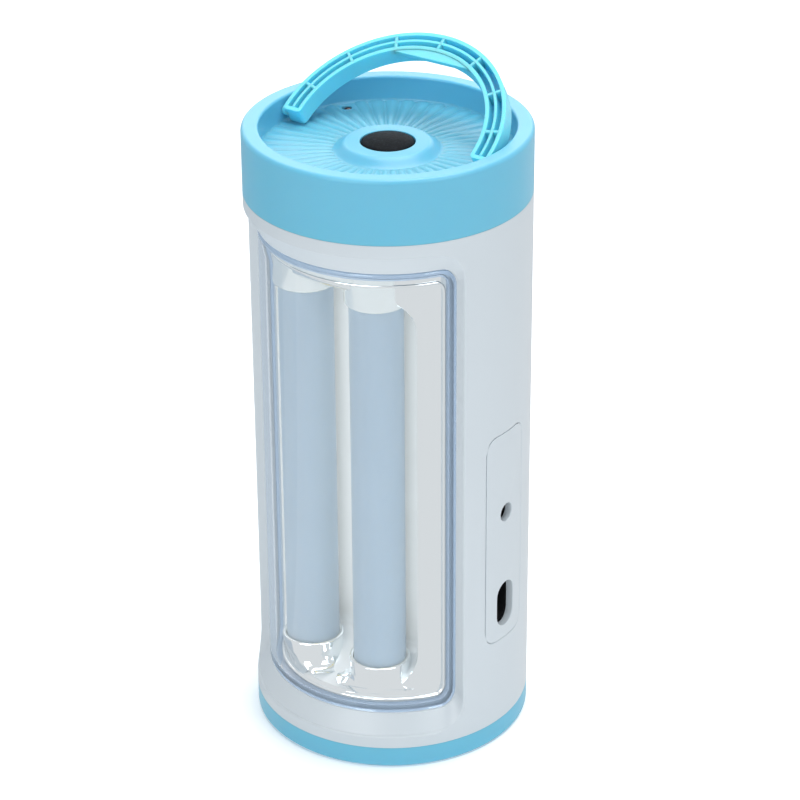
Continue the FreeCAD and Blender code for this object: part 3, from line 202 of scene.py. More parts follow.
class LanternWindowSizes(bpy.types.PropertyGroup):
    """Sizes of the window's recess, the lens and the reflector behind it."""
    wall: size("Housing wall", "Thickness of the tube", 2.4)
    half_turn: turn("Window angle", "Lens edge from the front", 66.0)
    patch_turn: turn("Patch angle", "Edge of the housing's front part", 75.0)
    low: size("Lower edge", "Lower edge of the lens", 18.0)
    high: size("Upper edge", "Upper edge of the lens", 174.0)
    corner: size("Lens corner", "Corner radius of the lens", 6.5)
    mouth_corner: size("Mouth corner", "Corner radius of the recess at the outside", 10.0)
    flare: size("Flare", "Spread of the recess at top and bottom", 6.3)
    edge: size("Edge", "Round edge of the recess", 0.7)
    recess: size("Lens recess", "Lens behind the housing's outside", 4.2)
    collar: size("Collar", "Window frame behind the lens face", 2.6)
    gap: size("Gap", "Between the lens and its frame", 0.15)
    lens: size("Lens wall", "Thickness of the lens", 2.0)
    lens_depth: size("Lens depth", "Side walls of the lens", 4.4)
    flange: size("Flange", "Flange that holds the lens in", 2.8)
    mirror_face: size("Mirror radius", "Face of the plated frame", 36.2)
    mirror_wall: size("Mirror wall", "Thickness of the reflector", 1.2)
    trough_back: size("Trough back", "Back of the trough from the middle", 14.5)
    trough_half: size("Trough width", "Half the width of the trough's back", 22.8)
    trough_low: size("Trough low", "Lower end of the trough's back", 32.0)
    trough_high: size("Trough high", "Upper end of the trough's back", 156.4)
    trough_corner: size("Trough corner", "Corner radius of the trough", 4.5)
    trough_taper: turn("Trough taper", "Lean of the trough's walls", 25.0)
    tube_spread: size("Tube spread", "Light tubes from the middle", 13.2)
    tube_forward: size("Tube forward", "Light tubes towards the front", 25.2)
    tube: size("Tube radius", "Light tube", 8.35)
    tube_low: size("Tube low", "Visible lower end of the tubes", 33.5)
    tube_high: size("Tube high", "Visible upper end of the tubes", 159.7)
    cup: size("Cup radius", "Plated cups around the tube ends", 9.7)
    cup_foot: size("Cup foot", "Radius of the flared foot of a cup", 14.2)
    cup_band: size("Cup band", "Straight band of a cup", 4.6)
    cup_proud: size("Cup proud", "Cups past the frame's face", 2.0)
    hood: size("Hood", "Height of the hoods over the upper tube ends", 11.0)
    bead: size("Bead", "Radius of the bright bead on the frame", 0.55)
    bead_drop: size("Bead drop", "Bead below the upper edge of the lens", 3.0)


class LanternPortSizes(bpy.types.PropertyGroup):
    """Sizes of the side panel and its two holes."""
    half_width: size("Half width", "Half the width of the panel", 10.0)
    low: size("Lower edge", "Lower edge of the panel", 38.0)
    high: size("Upper edge", "Upper edge of the panel", 113.0)
    corner: size("Corner", "Corner radius of the panel", 4.5)
    groove: size("Groove", "Gap around the panel", 0.08)
    patch_low: size("Patch low", "Lower edge of the housing's part around it", 30.0)
    patch_high: size("Patch high", "Upper edge of the housing's part around it", 121.0)
    patch_turn: turn("Patch turn", "Edge of that part beyond the front part", 30.0)
    jack: size("Jack height", "Direct current jack", 84.0)
    jack_hole: size("Jack hole", "Radius of its hole", 3.1)
    mains: size("Mains height", "Mains inlet", 50.5)
    mains_half: size("Mains half length", "Half the length of its opening", 8.0)
    mains_radius: size("Mains radius", "Round ends of its opening", 4.5)
    split: size("Split", "Height that parts the two holes", 67.0)


class LanternPaints(bpy.types.PropertyGroup):
    """Colours of the finishes."""
    shell: paint("Shell", "White moulded housing", "C5CFD6")
    blue: paint("Blue", "Blue moulded cap and base", "65B8D5")
    handle: paint("Handle", "Blue moulded handle", "78DCF2")
    rubber: paint("Rubber", "Black rubber button", "04080D")
    chrome: paint("Chrome", "Plated reflector", "E5EEF0")
    bright: paint("Bright", "Bright plating of the cups and the bead", "F2F7F9")
    # The trough's plating is paler than the frame's: painted light on a trough that the lights hardly reach
    trough: paint("Trough", "Milky plating behind the tubes", "F6FCFF")
    lens: paint("Lens", "Clear window", "F8FAFC")
    # The rim colour is partly the acrylic's edge tint and partly painted reflection of the surroundings seen
    # through the side walls
    lens_edge: paint("Lens edge", "Rim of the clear window", "AEC5DE")
    tube: paint("Tube", "Frosted light tubes", "ADC1D0")
    black: paint("Black", "Sockets and small black parts", "17181A")
    floor: paint("Floor", "Pale floor", "FDFEFF")
    # The grey card paints dark reflections: the floor's shade near the lantern, seen in the chrome and the
    # lens
    card: paint("Card", "Grey card behind the lantern", "8B9AA7")


class LanternStage(bpy.types.PropertyGroup):
    """Camera, lights and floor."""
    distance: size("Distance", "Camera from its aim", 949.53)
    aim: size("Aim", "Height that the camera and the lights face", 100.0)
    azimuth: turn("Azimuth", "Camera from the front towards the sockets", 35.5)
    elevation: turn("Elevation", "Camera above the level", 27.964)
    pan: turn("Pan", "Camera turned to the right", 0.195)
    tilt: turn("Tilt", "Camera turned up", 0.573)
    roll: turn("Roll", "Camera turned about its own axis", -0.489)
    focal: FloatProperty(name="Focal length", description="Camera lens", default=132.757, unit="CAMERA")
    floor: size("Floor", "Radius of the pale floor", 1200.0)
    # Where the grey card lies. It paints shade into reflections only
    card_turn: turn("Card angle", "Middle of the grey card, from the socket side", 160.0)
    card_half: turn("Card half", "Half the angle that the grey card takes up", 60.0)
    card_near: size("Card near", "Near edge of the grey card from the middle", 50.0)
    card_far: size("Card far", "Far edge of the grey card from the middle", 1150.0)
    gloss: level("Gloss", "Strength of the studio in reflections", 0.78)
    sky: level("Sky", "Strength of the studio's even light", 0.3)


class LanternSettings(bpy.types.PropertyGroup):
    """Everything that a user can change."""
    cap: PointerProperty(type=LanternCapSizes)
    handle: PointerProperty(type=LanternHandleSizes)
    window: PointerProperty(type=LanternWindowSizes)
    port: PointerProperty(type=LanternPortSizes)
    paints: PointerProperty(type=LanternPaints)
    stage: PointerProperty(type=LanternStage)


# Shapes

def spaced(start, end, steps):
    """Even places from start to end."""
    return [start + (end - start) * i / steps for i in range(steps + 1)]


def chained(stops, counts):
    """Places through several stops, with a count of steps between each two."""
    places = [stops[0]]
    for first, last, steps in zip(stops, stops[1:], counts):
        places += spaced(first, last, steps)[1:]
    return places


def rectangle(across, up):
    """The edge of a grid as pairs, anticlockwise from its lower left corner."""
    lower = [(x, up[0]) for x in across[:-1]]
    right = [(across[-1], z) for z in up[:-1]]
    upper = [(x, up[-1]) for x in reversed(across[1:])]
    left = [(across[0], z) for z in reversed(up[1:])]
    return lower + right + upper + left


def core_of(half, low, high, corner, middle=0.0):
    """The left, right, low and high lines of the core inside a rectangle with round corners."""
    return middle - half + corner, middle + half - corner, low + corner, high - corner


def nearest(x, z, core):
    """The nearest place of a core rectangle."""
    return min(max(x, core[0]), core[1]), min(max(z, core[2]), core[3])


def hug(points, core, radius):
    """The nearest points of the line that runs at a radius around a core rectangle."""
    found = []
    for x, z in points:
        near_x, near_z = nearest(x, z, core)
        reach = math.hypot(x - near_x, z - near_z) or 1.0
        found.append((near_x + (x - near_x) * radius / reach, near_z + (z - near_z) * radius / reach))
    return found


def between(first, second, share):
    """Points at a share of the way from one line to another."""
    return [(a + (c - a) * share, b + (d - b) * share) for (a, b), (c, d) in zip(first, second)]


def polar(radius, angle, height, centre=(0.0, 0.0)):
    """A point at a radius and an angle about an upright axis."""
    return Vector((centre[0] + radius * math.cos(angle), centre[1] + radius * math.sin(angle), height))


def around(points, radius):
    """Points of the unrolled outside, laid on a tube of some radius about the upright axis."""
    turned = [(x / BODY_RADIUS, z) for x, z in points]
    return [Vector((radius * math.sin(a), -radius * math.cos(a), z)) for a, z in turned]


def skin(bm, loops, closed=True):
    """Joins neighbouring loops of equal length with faces."""
    rows = [[bm.verts.new(point) for point in loop] for loop in loops]
    for first, second in zip(rows, rows[1:]):
        last = len(first) if closed else len(first) - 1
        for i in range(last):
            j = (i + 1) % len(first)
            bm.faces.new((first[i], first[j], second[j], second[i]))


def lids(bm, loops):
    """Closes the first and the last loop with a face each."""
    for loop in (loops[0], loops[-1]):
        bm.faces.new([bm.verts.new(point) for point in loop])


def sheet(bm, across, up, radius):
    """A grid of faces on a tube about the upright axis."""
    skin(bm, [around([(x, z) for x in across], radius) for z in up], closed=False)


def eased(points, core, radius, section, soft, depth):
    """Loops of a round edge, whose section gives spread and drop in shares of its size."""
    return [around(hug(points, core, radius + spread * soft), depth - drop * soft)
            for spread, drop in section]


def pierced(bm, points, core, radius, section, soft, outer, inner):
    """The tube's wall between a grid's edge and a line at a radius around a core, with a soft edge there."""
    skin(bm, [around(points, outer), *eased(points, core, radius, section, soft, outer),
              around(hug(points, core, radius), inner), around(points, inner)])


def bow(centre, radius, start, end, steps):
    """An arc of a profile, in degrees."""
    turns = [math.radians(a) for a in spaced(start, end, steps)]
    return [(centre[0] + radius * math.cos(a), centre[1] + radius * math.sin(a)) for a in turns]


def lathe(bm, profile, centre=(0.0, 0.0), steps=ROUND_STEPS, place=None):
    """Turns a profile of radii and heights about an upright axis, or one that place turns."""
    turns = [math.tau * i / steps for i in range(steps)]
    loops = [[polar(r, a, z, centre) for a in turns] for r, z in profile]
    if place is not None:
        loops = [[place @ point for point in loop] for loop in loops]
    skin(bm, loops)


def meshed(bm, name):
    """The mesh of a working mesh, which is freed."""
    mesh = bpy.data.meshes.new(name)
    bm.to_mesh(mesh)
    bm.free()
    return mesh


def shown(name, data):
    """A new object in the scene."""
    thing = bpy.data.objects.new(name, data)
    bpy.context.scene.collection.objects.link(thing)
    return thing


def finished(bm, name, slot, nodes=(), **how):
    """Makes a closed mesh into a piece that rides on a body and stands for its nodes."""
    bmesh.ops.remove_doubles(bm, verts=bm.verts, dist=MERGE)
    bmesh.ops.dissolve_degenerate(bm, edges=bm.edges, dist=MERGE)
    open_edges = [edge for edge in bm.edges if edge.is_boundary]
    bmesh.ops.holes_fill(bm, edges=open_edges, sides=0)
    bmesh.ops.recalc_face_normals(bm, faces=bm.faces)
    return placed(meshed(bm, name), name, slot, nodes, **how)


def placed(mesh, name, slot, nodes=(), body="lantern", finish=None, bevel=0.0, sharp=35.0):
    """Shows a mesh as a piece of the lantern, in its slot's finish or another one."""
    thing = shown(name, mesh)
    if len(mesh.materials):
        mesh.materials.clear()
    mesh.materials.append(FINISHES[finish or slot])
    mesh.shade_smooth()
    mesh.set_sharp_from_angle(angle=math.radians(sharp))
    if bevel:
        softened = thing.modifiers.new("soft_edges", "BEVEL")
        softened.width = bevel
        softened.segments = 2
        softened.limit_method = "ANGLE"
        softened.angle_limit = math.radians(sharp)
    even = thing.modifiers.new("even_shading", "WEIGHTED_NORMAL")
    even.keep_sharp = not bevel
    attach(thing, body)
    if nodes:
        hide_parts(*nodes)
    return thing


def lets_light_through(thing):
    """Lets light reach what lies behind a clear or milky piece, as the real one does."""
    thing.visible_shadow = False
    thing.visible_diffuse = False
    thing.visible_glossy = False


# Materials

def per(millimetres):
    """The scale that gives a pattern a real size on metres."""
    return 1.0 / (millimetres * MM)


def feed(tree, node, inputs):
    """Sets or links some inputs of a node."""
    for name, value in inputs.items():
        if isinstance(value, bpy.types.NodeSocket):
            tree.links.new(value, node.inputs[name])
        else:
            node.inputs[name].default_value = value
    return node


def add(tree, kind, inputs=None, **settings):
    """Adds a node with its settings and its inputs."""
    made = tree.nodes.new(kind)
    for name, value in settings.items():
        setattr(made, name, value)
    return feed(tree, made, inputs or {})


def blank(name):
    """A new material with one shader, and its coordinates."""
    material = bpy.data.materials.new(name)
    material.use_nodes = True
    tree = material.node_tree
    shader = tree.nodes["Principled BSDF"]
    place = add(tree, "ShaderNodeTexCoord").outputs["Object"]
    return material, tree, shader, place


def darker(colour, share):
    """A colour at a share of its light."""
    return (colour[0] * share, colour[1] * share, colour[2] * share, 1.0)


def patchy(tree, shader, pattern, first, second, start=None, full=None):
    """Two colours that blend with a noise pattern, or only where it rises from a start to full."""
    share = add(tree, "ShaderNodeTexNoise", pattern).outputs["Fac"]
    if start is not None:
        span = add(tree, "ShaderNodeMapRange", {"Value": share, "From Min": start, "From Max": full})
        share = span.outputs["Result"]
    mix = add(tree, "ShaderNodeMix", {"Factor": share}, data_type="RGBA")
    feed(tree, mix, {"A": first, "B": second})
    feed(tree, shader, {"Base Color": mix.outputs["Result"]})


def mottled(tree, shader, place, colour, share, patch):
    """Soft uneven colour, in patches of some millimetres."""
    clouds = {"Vector": place, "Scale": per(patch), "Detail": 4.0}
    patchy(tree, shader, clouds, darker(colour, share), colour)


def uneven_gloss(tree, shader, place, gloss, patch):
    """Roughness that wanders between two values."""
    cloud = add(tree, "ShaderNodeTexNoise", {"Vector": place, "Scale": per(patch), "Detail": 1.0})
    low, high = gloss
    span = add(tree, "ShaderNodeMapRange", {"Value": cloud.outputs["Fac"], "To Min": low, "To Max": high})
    feed(tree, shader, {"Roughness": span.outputs["Result"]})


def relief(tree, shader, place, depth, patch, detail=2.0):
    """A fine uneven surface of some depth in millimetres."""
    cloud = add(tree, "ShaderNodeTexNoise", {"Vector": place, "Scale": per(patch), "Detail": detail})
    bump = add(tree, "ShaderNodeBump", {
        "Height": cloud.outputs["Fac"], "Strength": 1.0, "Distance": depth * MM})
    feed(tree, shader, {"Normal": bump.outputs["Normal"]})


def moulded_plastic(name, colour, gloss=(0.29, 0.35), peel=0.0):
    """Injection moulded plastic: even colour, soft reflections, a fine grain where the mould was etched."""
    material, tree, shader, place = blank(name)
    mottled(tree, shader, place, colour, share=0.97, patch=40.0)
    uneven_gloss(tree, shader, place, gloss, patch=12.0)
    # The etched grain is really finer, and is drawn as coarse as it needs to show
    if peel:
        relief(tree, shader, place, depth=peel, patch=0.6)
    feed(tree, shader, {"IOR": 1.53})
    return material


def translucent_plastic(name, colour, share):
    """Unfilled blue ABS: light goes a little way in, so shaded hollows stay saturated."""
    material = moulded_plastic(name, colour, (0.29, 0.38))
    tree = material.node_tree
    feed(tree, tree.nodes["Principled BSDF"], {
        "Subsurface Weight": share, "Subsurface Radius": (0.15, 0.7, 1.0), "Subsurface Scale": 3.0 * MM})
    return material


def moulded_rubber(name, colour):
    """Black silicone rubber: dull, finely grained, with pale dust in the grain."""
    material, tree, shader, place = blank(name)
    # Dust and grain are really finer, and are drawn as coarse as they need to show
    dust = {"Vector": place, "Scale": per(0.8), "Detail": 6.0, "Roughness": 0.7}
    patchy(tree, shader, dust, colour, linear("20262C"), start=0.52, full=0.75)
    uneven_gloss(tree, shader, place, (0.4, 0.6), patch=1.2)
    relief(tree, shader, place, depth=0.05, patch=0.7, detail=4.0)
    feed(tree, shader, {"Specular IOR Level": 0.06})
    return material


def vacuum_plated(name, colour, gloss, metal):
    """Vacuum plated plastic: a mirror under a milky lacquer haze, with a few dark scuffs."""
    material, tree, shader, place = blank(name)
    scuffs = {"Vector": place, "Scale": per(9.0), "Detail": 8.0, "Roughness": 0.65}
    patchy(tree, shader, scuffs, colour, darker(colour, 0.3), start=0.69, full=0.76)
    uneven_gloss(tree, shader, place, gloss, patch=14.0)
    relief(tree, shader, place, depth=0.01, patch=12.0)
    feed(tree, shader, {"Metallic": metal})
    return material


def clear_acrylic(name, colour, clear=1.0):
    """Moulded acrylic: glossy, with faint flow ripples, and less clear where it is seen edge on. Where it is
    less clear, its colour is partly the edge's tint and partly painted reflection of the surroundings
    refracted through the side walls.
    """
    material, tree, shader, place = blank(name)
    uneven_gloss(tree, shader, place, (0.0, 0.02), patch=20.0)
    relief(tree, shader, place, depth=0.004, patch=16.0)
    feed(tree, shader, {"Base Color": colour, "Transmission Weight": clear, "IOR": 1.49})
    return material


def frosted_tube(name, colour):
    """Opal polycarbonate: light spreads inside it, with a satin skin and fine lines along the tube."""
    material, tree, shader, place = blank(name)
    mottled(tree, shader, place, colour, share=0.94, patch=30.0)
    # The lines are really finer, and are drawn as coarse as they need to show
    stretched = add(tree, "ShaderNodeMapping", {"Vector": place, "Scale": (1.0, 1.0, 0.02)})
    relief(tree, shader, stretched.outputs["Vector"], depth=0.01, patch=1.2)
    uneven_gloss(tree, shader, place, (0.38, 0.5), patch=6.0)
    feed(tree, shader, {
        "Subsurface Weight": 1.0, "Subsurface Radius": (1.0, 1.0, 1.0), "Subsurface Scale": 6.0 * MM})
    return material


def plated_metal(name, colour):
    """Plated steel or brass: a metal sheen with fine drag marks."""
    material, tree, shader, place = blank(name)
    # The drag marks are really finer, and are drawn as coarse as they need to show
    mottled(tree, shader, place, colour, share=0.85, patch=2.0)
    uneven_gloss(tree, shader, place, (0.2, 0.35), patch=0.8)
    feed(tree, shader, {"Metallic": 1.0})
    return material


def lit_paper(name, colour):
    """Background paper, lit from behind so that it stays pale under the lantern."""
    material, tree, shader, place = blank(name)
    mottled(tree, shader, place, colour, share=0.99, patch=200.0)
    feed(tree, shader, {"Roughness": 0.9, "Emission Color": linear("FFFFFF"), "Emission Strength": 0.12})
    return material


def finish_library(paints):
    """Every finish of the lantern, by the record's slots."""
    return {
        "white_shell": moulded_plastic("moulded_white_abs", paints.shell),
        "blue_plastic": translucent_plastic("moulded_blue_abs", paints.blue, 0.3),
        "handle_blue": translucent_plastic("moulded_handle_abs", paints.handle, 0.6),
        "black_rubber": moulded_rubber("black_silicone_rubber", paints.rubber),
        "black_plastic": moulded_plastic("black_nylon", paints.black, (0.3, 0.5), peel=0.02),
        "circuit_board": moulded_plastic("green_epoxy_board", linear("1F5B3A"), (0.3, 0.45)),
        "strip_board": moulded_plastic("white_lacquer_board", linear("E8E8E2"), (0.35, 0.5)),
        "plated_screw": plated_metal("zinc_plated_steel", linear("C9CBD0")),
        "red_lens": moulded_plastic("red_epoxy_lamp", linear("3A1512"), (0.08, 0.14)),
        "clear_lens": clear_acrylic("clear_moulded_acrylic", paints.lens),
        # The rim's blue-grey is partly edge tint and partly painted reflection: it stands for the
        # surroundings refracted through the lens's side walls
        "lens_edge": clear_acrylic("rim_painted_reflection_acrylic", paints.lens_edge, clear=0.35),
        "chrome_plating": vacuum_plated("hazy_vacuum_plating", paints.chrome, (0.12, 0.22), metal=0.4),
        # The frame's plating in a paler, mostly matt copy: painted light, so that the deep trough looks as
        # lit as the frame
        "trough_plating": vacuum_plated("painted_light_vacuum_plating", paints.trough, (0.15, 0.24), metal=0.15),
        "bright_plating": vacuum_plated("bright_vacuum_plating", paints.bright, (0.03, 0.08), metal=1.0),
        "frosted_tube": frosted_tube("opal_polycarbonate", paints.tube),
        "light_chip": moulded_plastic("yellow_phosphor_resin", linear("E9D46A"), (0.3, 0.4)),
        "white_plug": moulded_plastic("white_nylon", linear("E6E6E0"), (0.35, 0.5)),
        "plated_pin": plated_metal("nickel_plated_brass", linear("CFC9BC")),
        "capacitor_can": plated_metal("lacquered_aluminium", linear("3A4A6A")),
        "battery_case": moulded_plastic("grey_battery_abs", linear("55585C"), (0.4, 0.55)),
        "foam_pad": moulded_rubber("black_foam", linear("2A2A2C")),
    }


class LANTERN_OT_inner_parts(bpy.types.Operator):
    """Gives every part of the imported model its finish, by its slot"""
    bl_idname = "lantern.inner_parts"
    bl_label = "Finish inner parts"

    def execute(self, context):
        FINISHES.update(finish_library(context.scene.lantern.paints))
        for thing in frame["nodes"].values():
            slot = thing.data.materials[0].name.split(".")[0]
            thing.data.materials[0] = FINISHES[slot]
        return {"FINISHED"}


class LANTERN_OT_housing(bpy.types.Operator):
    """Makes the white tube with its window recess and its opening for the side panel"""
    bl_idname = "lantern.housing"
    bl_label = "Make housing"

    def execute(self, context):
        window = context.scene.lantern.window
        port = context.scene.lantern.port
        low = HOUSING_LOW.z
        high = HOUSING_HIGH.z
        outer = BODY_RADIUS
        inner = outer - window.wall
        patch = window.patch_turn * outer
        half = window.half_turn * outer
        mouth = window.mouth_corner
        mouth_core = core_of(half, window.low - window.flare, window.high + window.flare, mouth)
        up = chained([low + SEAM, mouth_core[2], port.patch_low, port.patch_high, mouth_core[3], high - SEAM],
                     [6, 2, 14, 8, 6])
        across = chained([-patch, mouth_core[0], mouth_core[1], patch], [6, 30, 6])
        bm = bmesh.new()
        self.recess(bm, window, rectangle(across, up), mouth_core, inner)
        side = spaced(patch, patch + port.patch_turn * outer, 12)
        panel_core = core_of(port.half_width, port.low, port.high, port.corner, QUARTER)
        zone = [z for z in up if port.patch_low <= z <= port.patch_high]
        pierced(bm, rectangle(side, zone), panel_core, port.corner, SEAT_EDGE, MM, outer, inner)
        below = [z for z in up if z <= port.patch_low]
        above = [z for z in up if z >= port.patch_high]
        back = spaced(side[-1], math.tau * outer - patch, 60)
        for radius in (outer, inner):
            sheet(bm, side, below, radius)
            sheet(bm, side, above, radius)
            sheet(bm, back, up, radius)
        whole = across[:-1] + side[:-1] + back[:-1]
        for start, end in ((low + SEAM, low), (high - SEAM, high)):
            rim = [(outer, start), (outer - SEAM_ROUND * SEAM, (start + 2 * end) / 3), (outer - SEAM, end),
                   (inner, end), (inner, start)]
            skin(bm, [around([(x, z) for x in whole], radius) for radius, z in rim])
        finished(bm, "housing_shell", "white_shell", ["main_housing"])
        return {"FINISHED"}

    def recess(self, bm, window, edge, mouth_core, inner):
        """The front part: a round edge, sloped sides down to the lens, and the frame that holds it."""
        outer = BODY_RADIUS
        lens = outer - window.recess
        collar = lens - window.collar
        half = window.half_turn * outer
        lens_core = core_of(half, window.low, window.high, window.corner)
        lens_loop = hug(edge, lens_core, window.corner)
        mouth_loop = hug(edge, mouth_core, window.mouth_corner)
        border = hug(edge, lens_core, window.corner + window.collar * FRAME_BORDER)
        loops = [around(edge, outer)]
        loops += eased(edge, mouth_core, window.mouth_corner, MOUTH_EDGE, window.edge, outer)
        for share in MOUTH_SLOPE:
            depth = outer - window.edge + (lens - outer + window.edge) * share
            loops.append(around(between(mouth_loop, lens_loop, share), depth))
        loops += [around(lens_loop, lens), around(lens_loop, collar), around(border, collar),
                  around(border, inner), around(edge, inner)]
        skin(bm, loops)


class LANTERN_OT_port_panel(bpy.types.Operator):
    """Makes the bare side panel with its jack hole and mains opening"""
    bl_idname = "lantern.port_panel"
    bl_label = "Make port panel"

    def execute(self, context):
        port = context.scene.lantern.port
        outer = BODY_RADIUS
        inner = outer - context.scene.lantern.window.wall
        half = port.half_width - port.groove
        low = port.low + port.groove
        high = port.high - port.groove
        inset = 2.0 * MM
        soft = 0.25 * MM
        top_steps = 6
        across = spaced(QUARTER - half + inset, QUARTER + half - inset, 12)
        up = chained([low + inset, port.split, port.jack * 2 - port.split, high - inset], [16, 14, top_steps])
        top = up[-top_steps - 1:]
        core = core_of(half, low, high, port.corner, QUARTER)
        bm = bmesh.new()
        pierced(bm, rectangle(across, up), core, port.corner, PANEL_EDGE, soft, outer, inner)
        straight = port.mains_half - port.mains_radius
        holes = ((up[0], port.split, port.mains, straight, port.mains_radius),
                 (port.split, top[0], port.jack, 0.0, port.jack_hole))
        for start, end, height, reach, radius in holes:
            part = rectangle(across, [z for z in up if start - MERGE <= z <= end + MERGE])
            core = (QUARTER, QUARTER, height - reach, height + reach)
            pierced(bm, part, core, radius, HOLE_EDGE, soft, outer, inner)
        for radius in (outer, inner):
            sheet(bm, across, top, radius)
        finished(bm, "side_panel", "white_shell", ["port_panel"])
        return {"FINISHED"}


def window_grid(window, high):
    """The core of the window up to some height, and places across and up for a grid over it."""
    half = window.half_turn * BODY_RADIUS
    core = core_of(half, window.low, high, window.corner)
    across = chained([-half, core[0], core[1], half], [CORNER_STEPS, 36, CORNER_STEPS])
    up = chained([window.low, core[2], core[3], high], [CORNER_STEPS, 24, CORNER_STEPS])
    return core, across, up


class LANTERN_OT_lens(bpy.types.Operator):
    """Makes the clear curved window with its side walls and flange"""
    bl_idname = "lantern.lens"
    bl_label = "Make lens"

    def execute(self, context):
        window = context.scene.lantern.window
        face = BODY_RADIUS - window.recess
        back = face - window.lens_depth
        shoulder = face - window.collar - window.gap
        inside = face - window.lens
        core, across, up = window_grid(window, window.high)
        edge = rectangle(across, up)
        rim = window.corner - window.gap
        wall = rim - window.lens
        flange = rim + window.flange
        soft = 0.7 * MM
        steps = [(0.0, face)]
        steps += [(rim - spread * soft, face - drop * soft) for spread, drop in LENS_EDGE]
        steps += [(rim, shoulder), (flange, shoulder), (flange, back), (wall, back)]
        steps += [(wall - spread * soft, inside - drop * soft) for spread, drop in LENS_INSIDE]
        steps.append((0.0, inside))
        bm = bmesh.new()
        skin(bm, [around(hug(edge, core, max(radius, 0.0)), depth) for radius, depth in steps])
        for radius in (face, inside):
            sheet(bm, across[INSIDE], up[INSIDE], radius)
        lens = finished(bm, "clear_window", "clear_lens", ["lens_cover"])
        lets_light_through(lens)
        # Rim faces get the rim finish, whose colour partly paints the reflections seen through the side walls
        lens.data.materials.append(FINISHES["lens_edge"])
        for part in lens.data.polygons:
            x = math.atan2(part.center.x, -part.center.y) * BODY_RADIUS
            z = part.center.z
            near_x, near_z = nearest(x, z, core)
            part.material_index = int(math.hypot(x - near_x, z - near_z) > wall - soft)
        return {"FINISHED"}


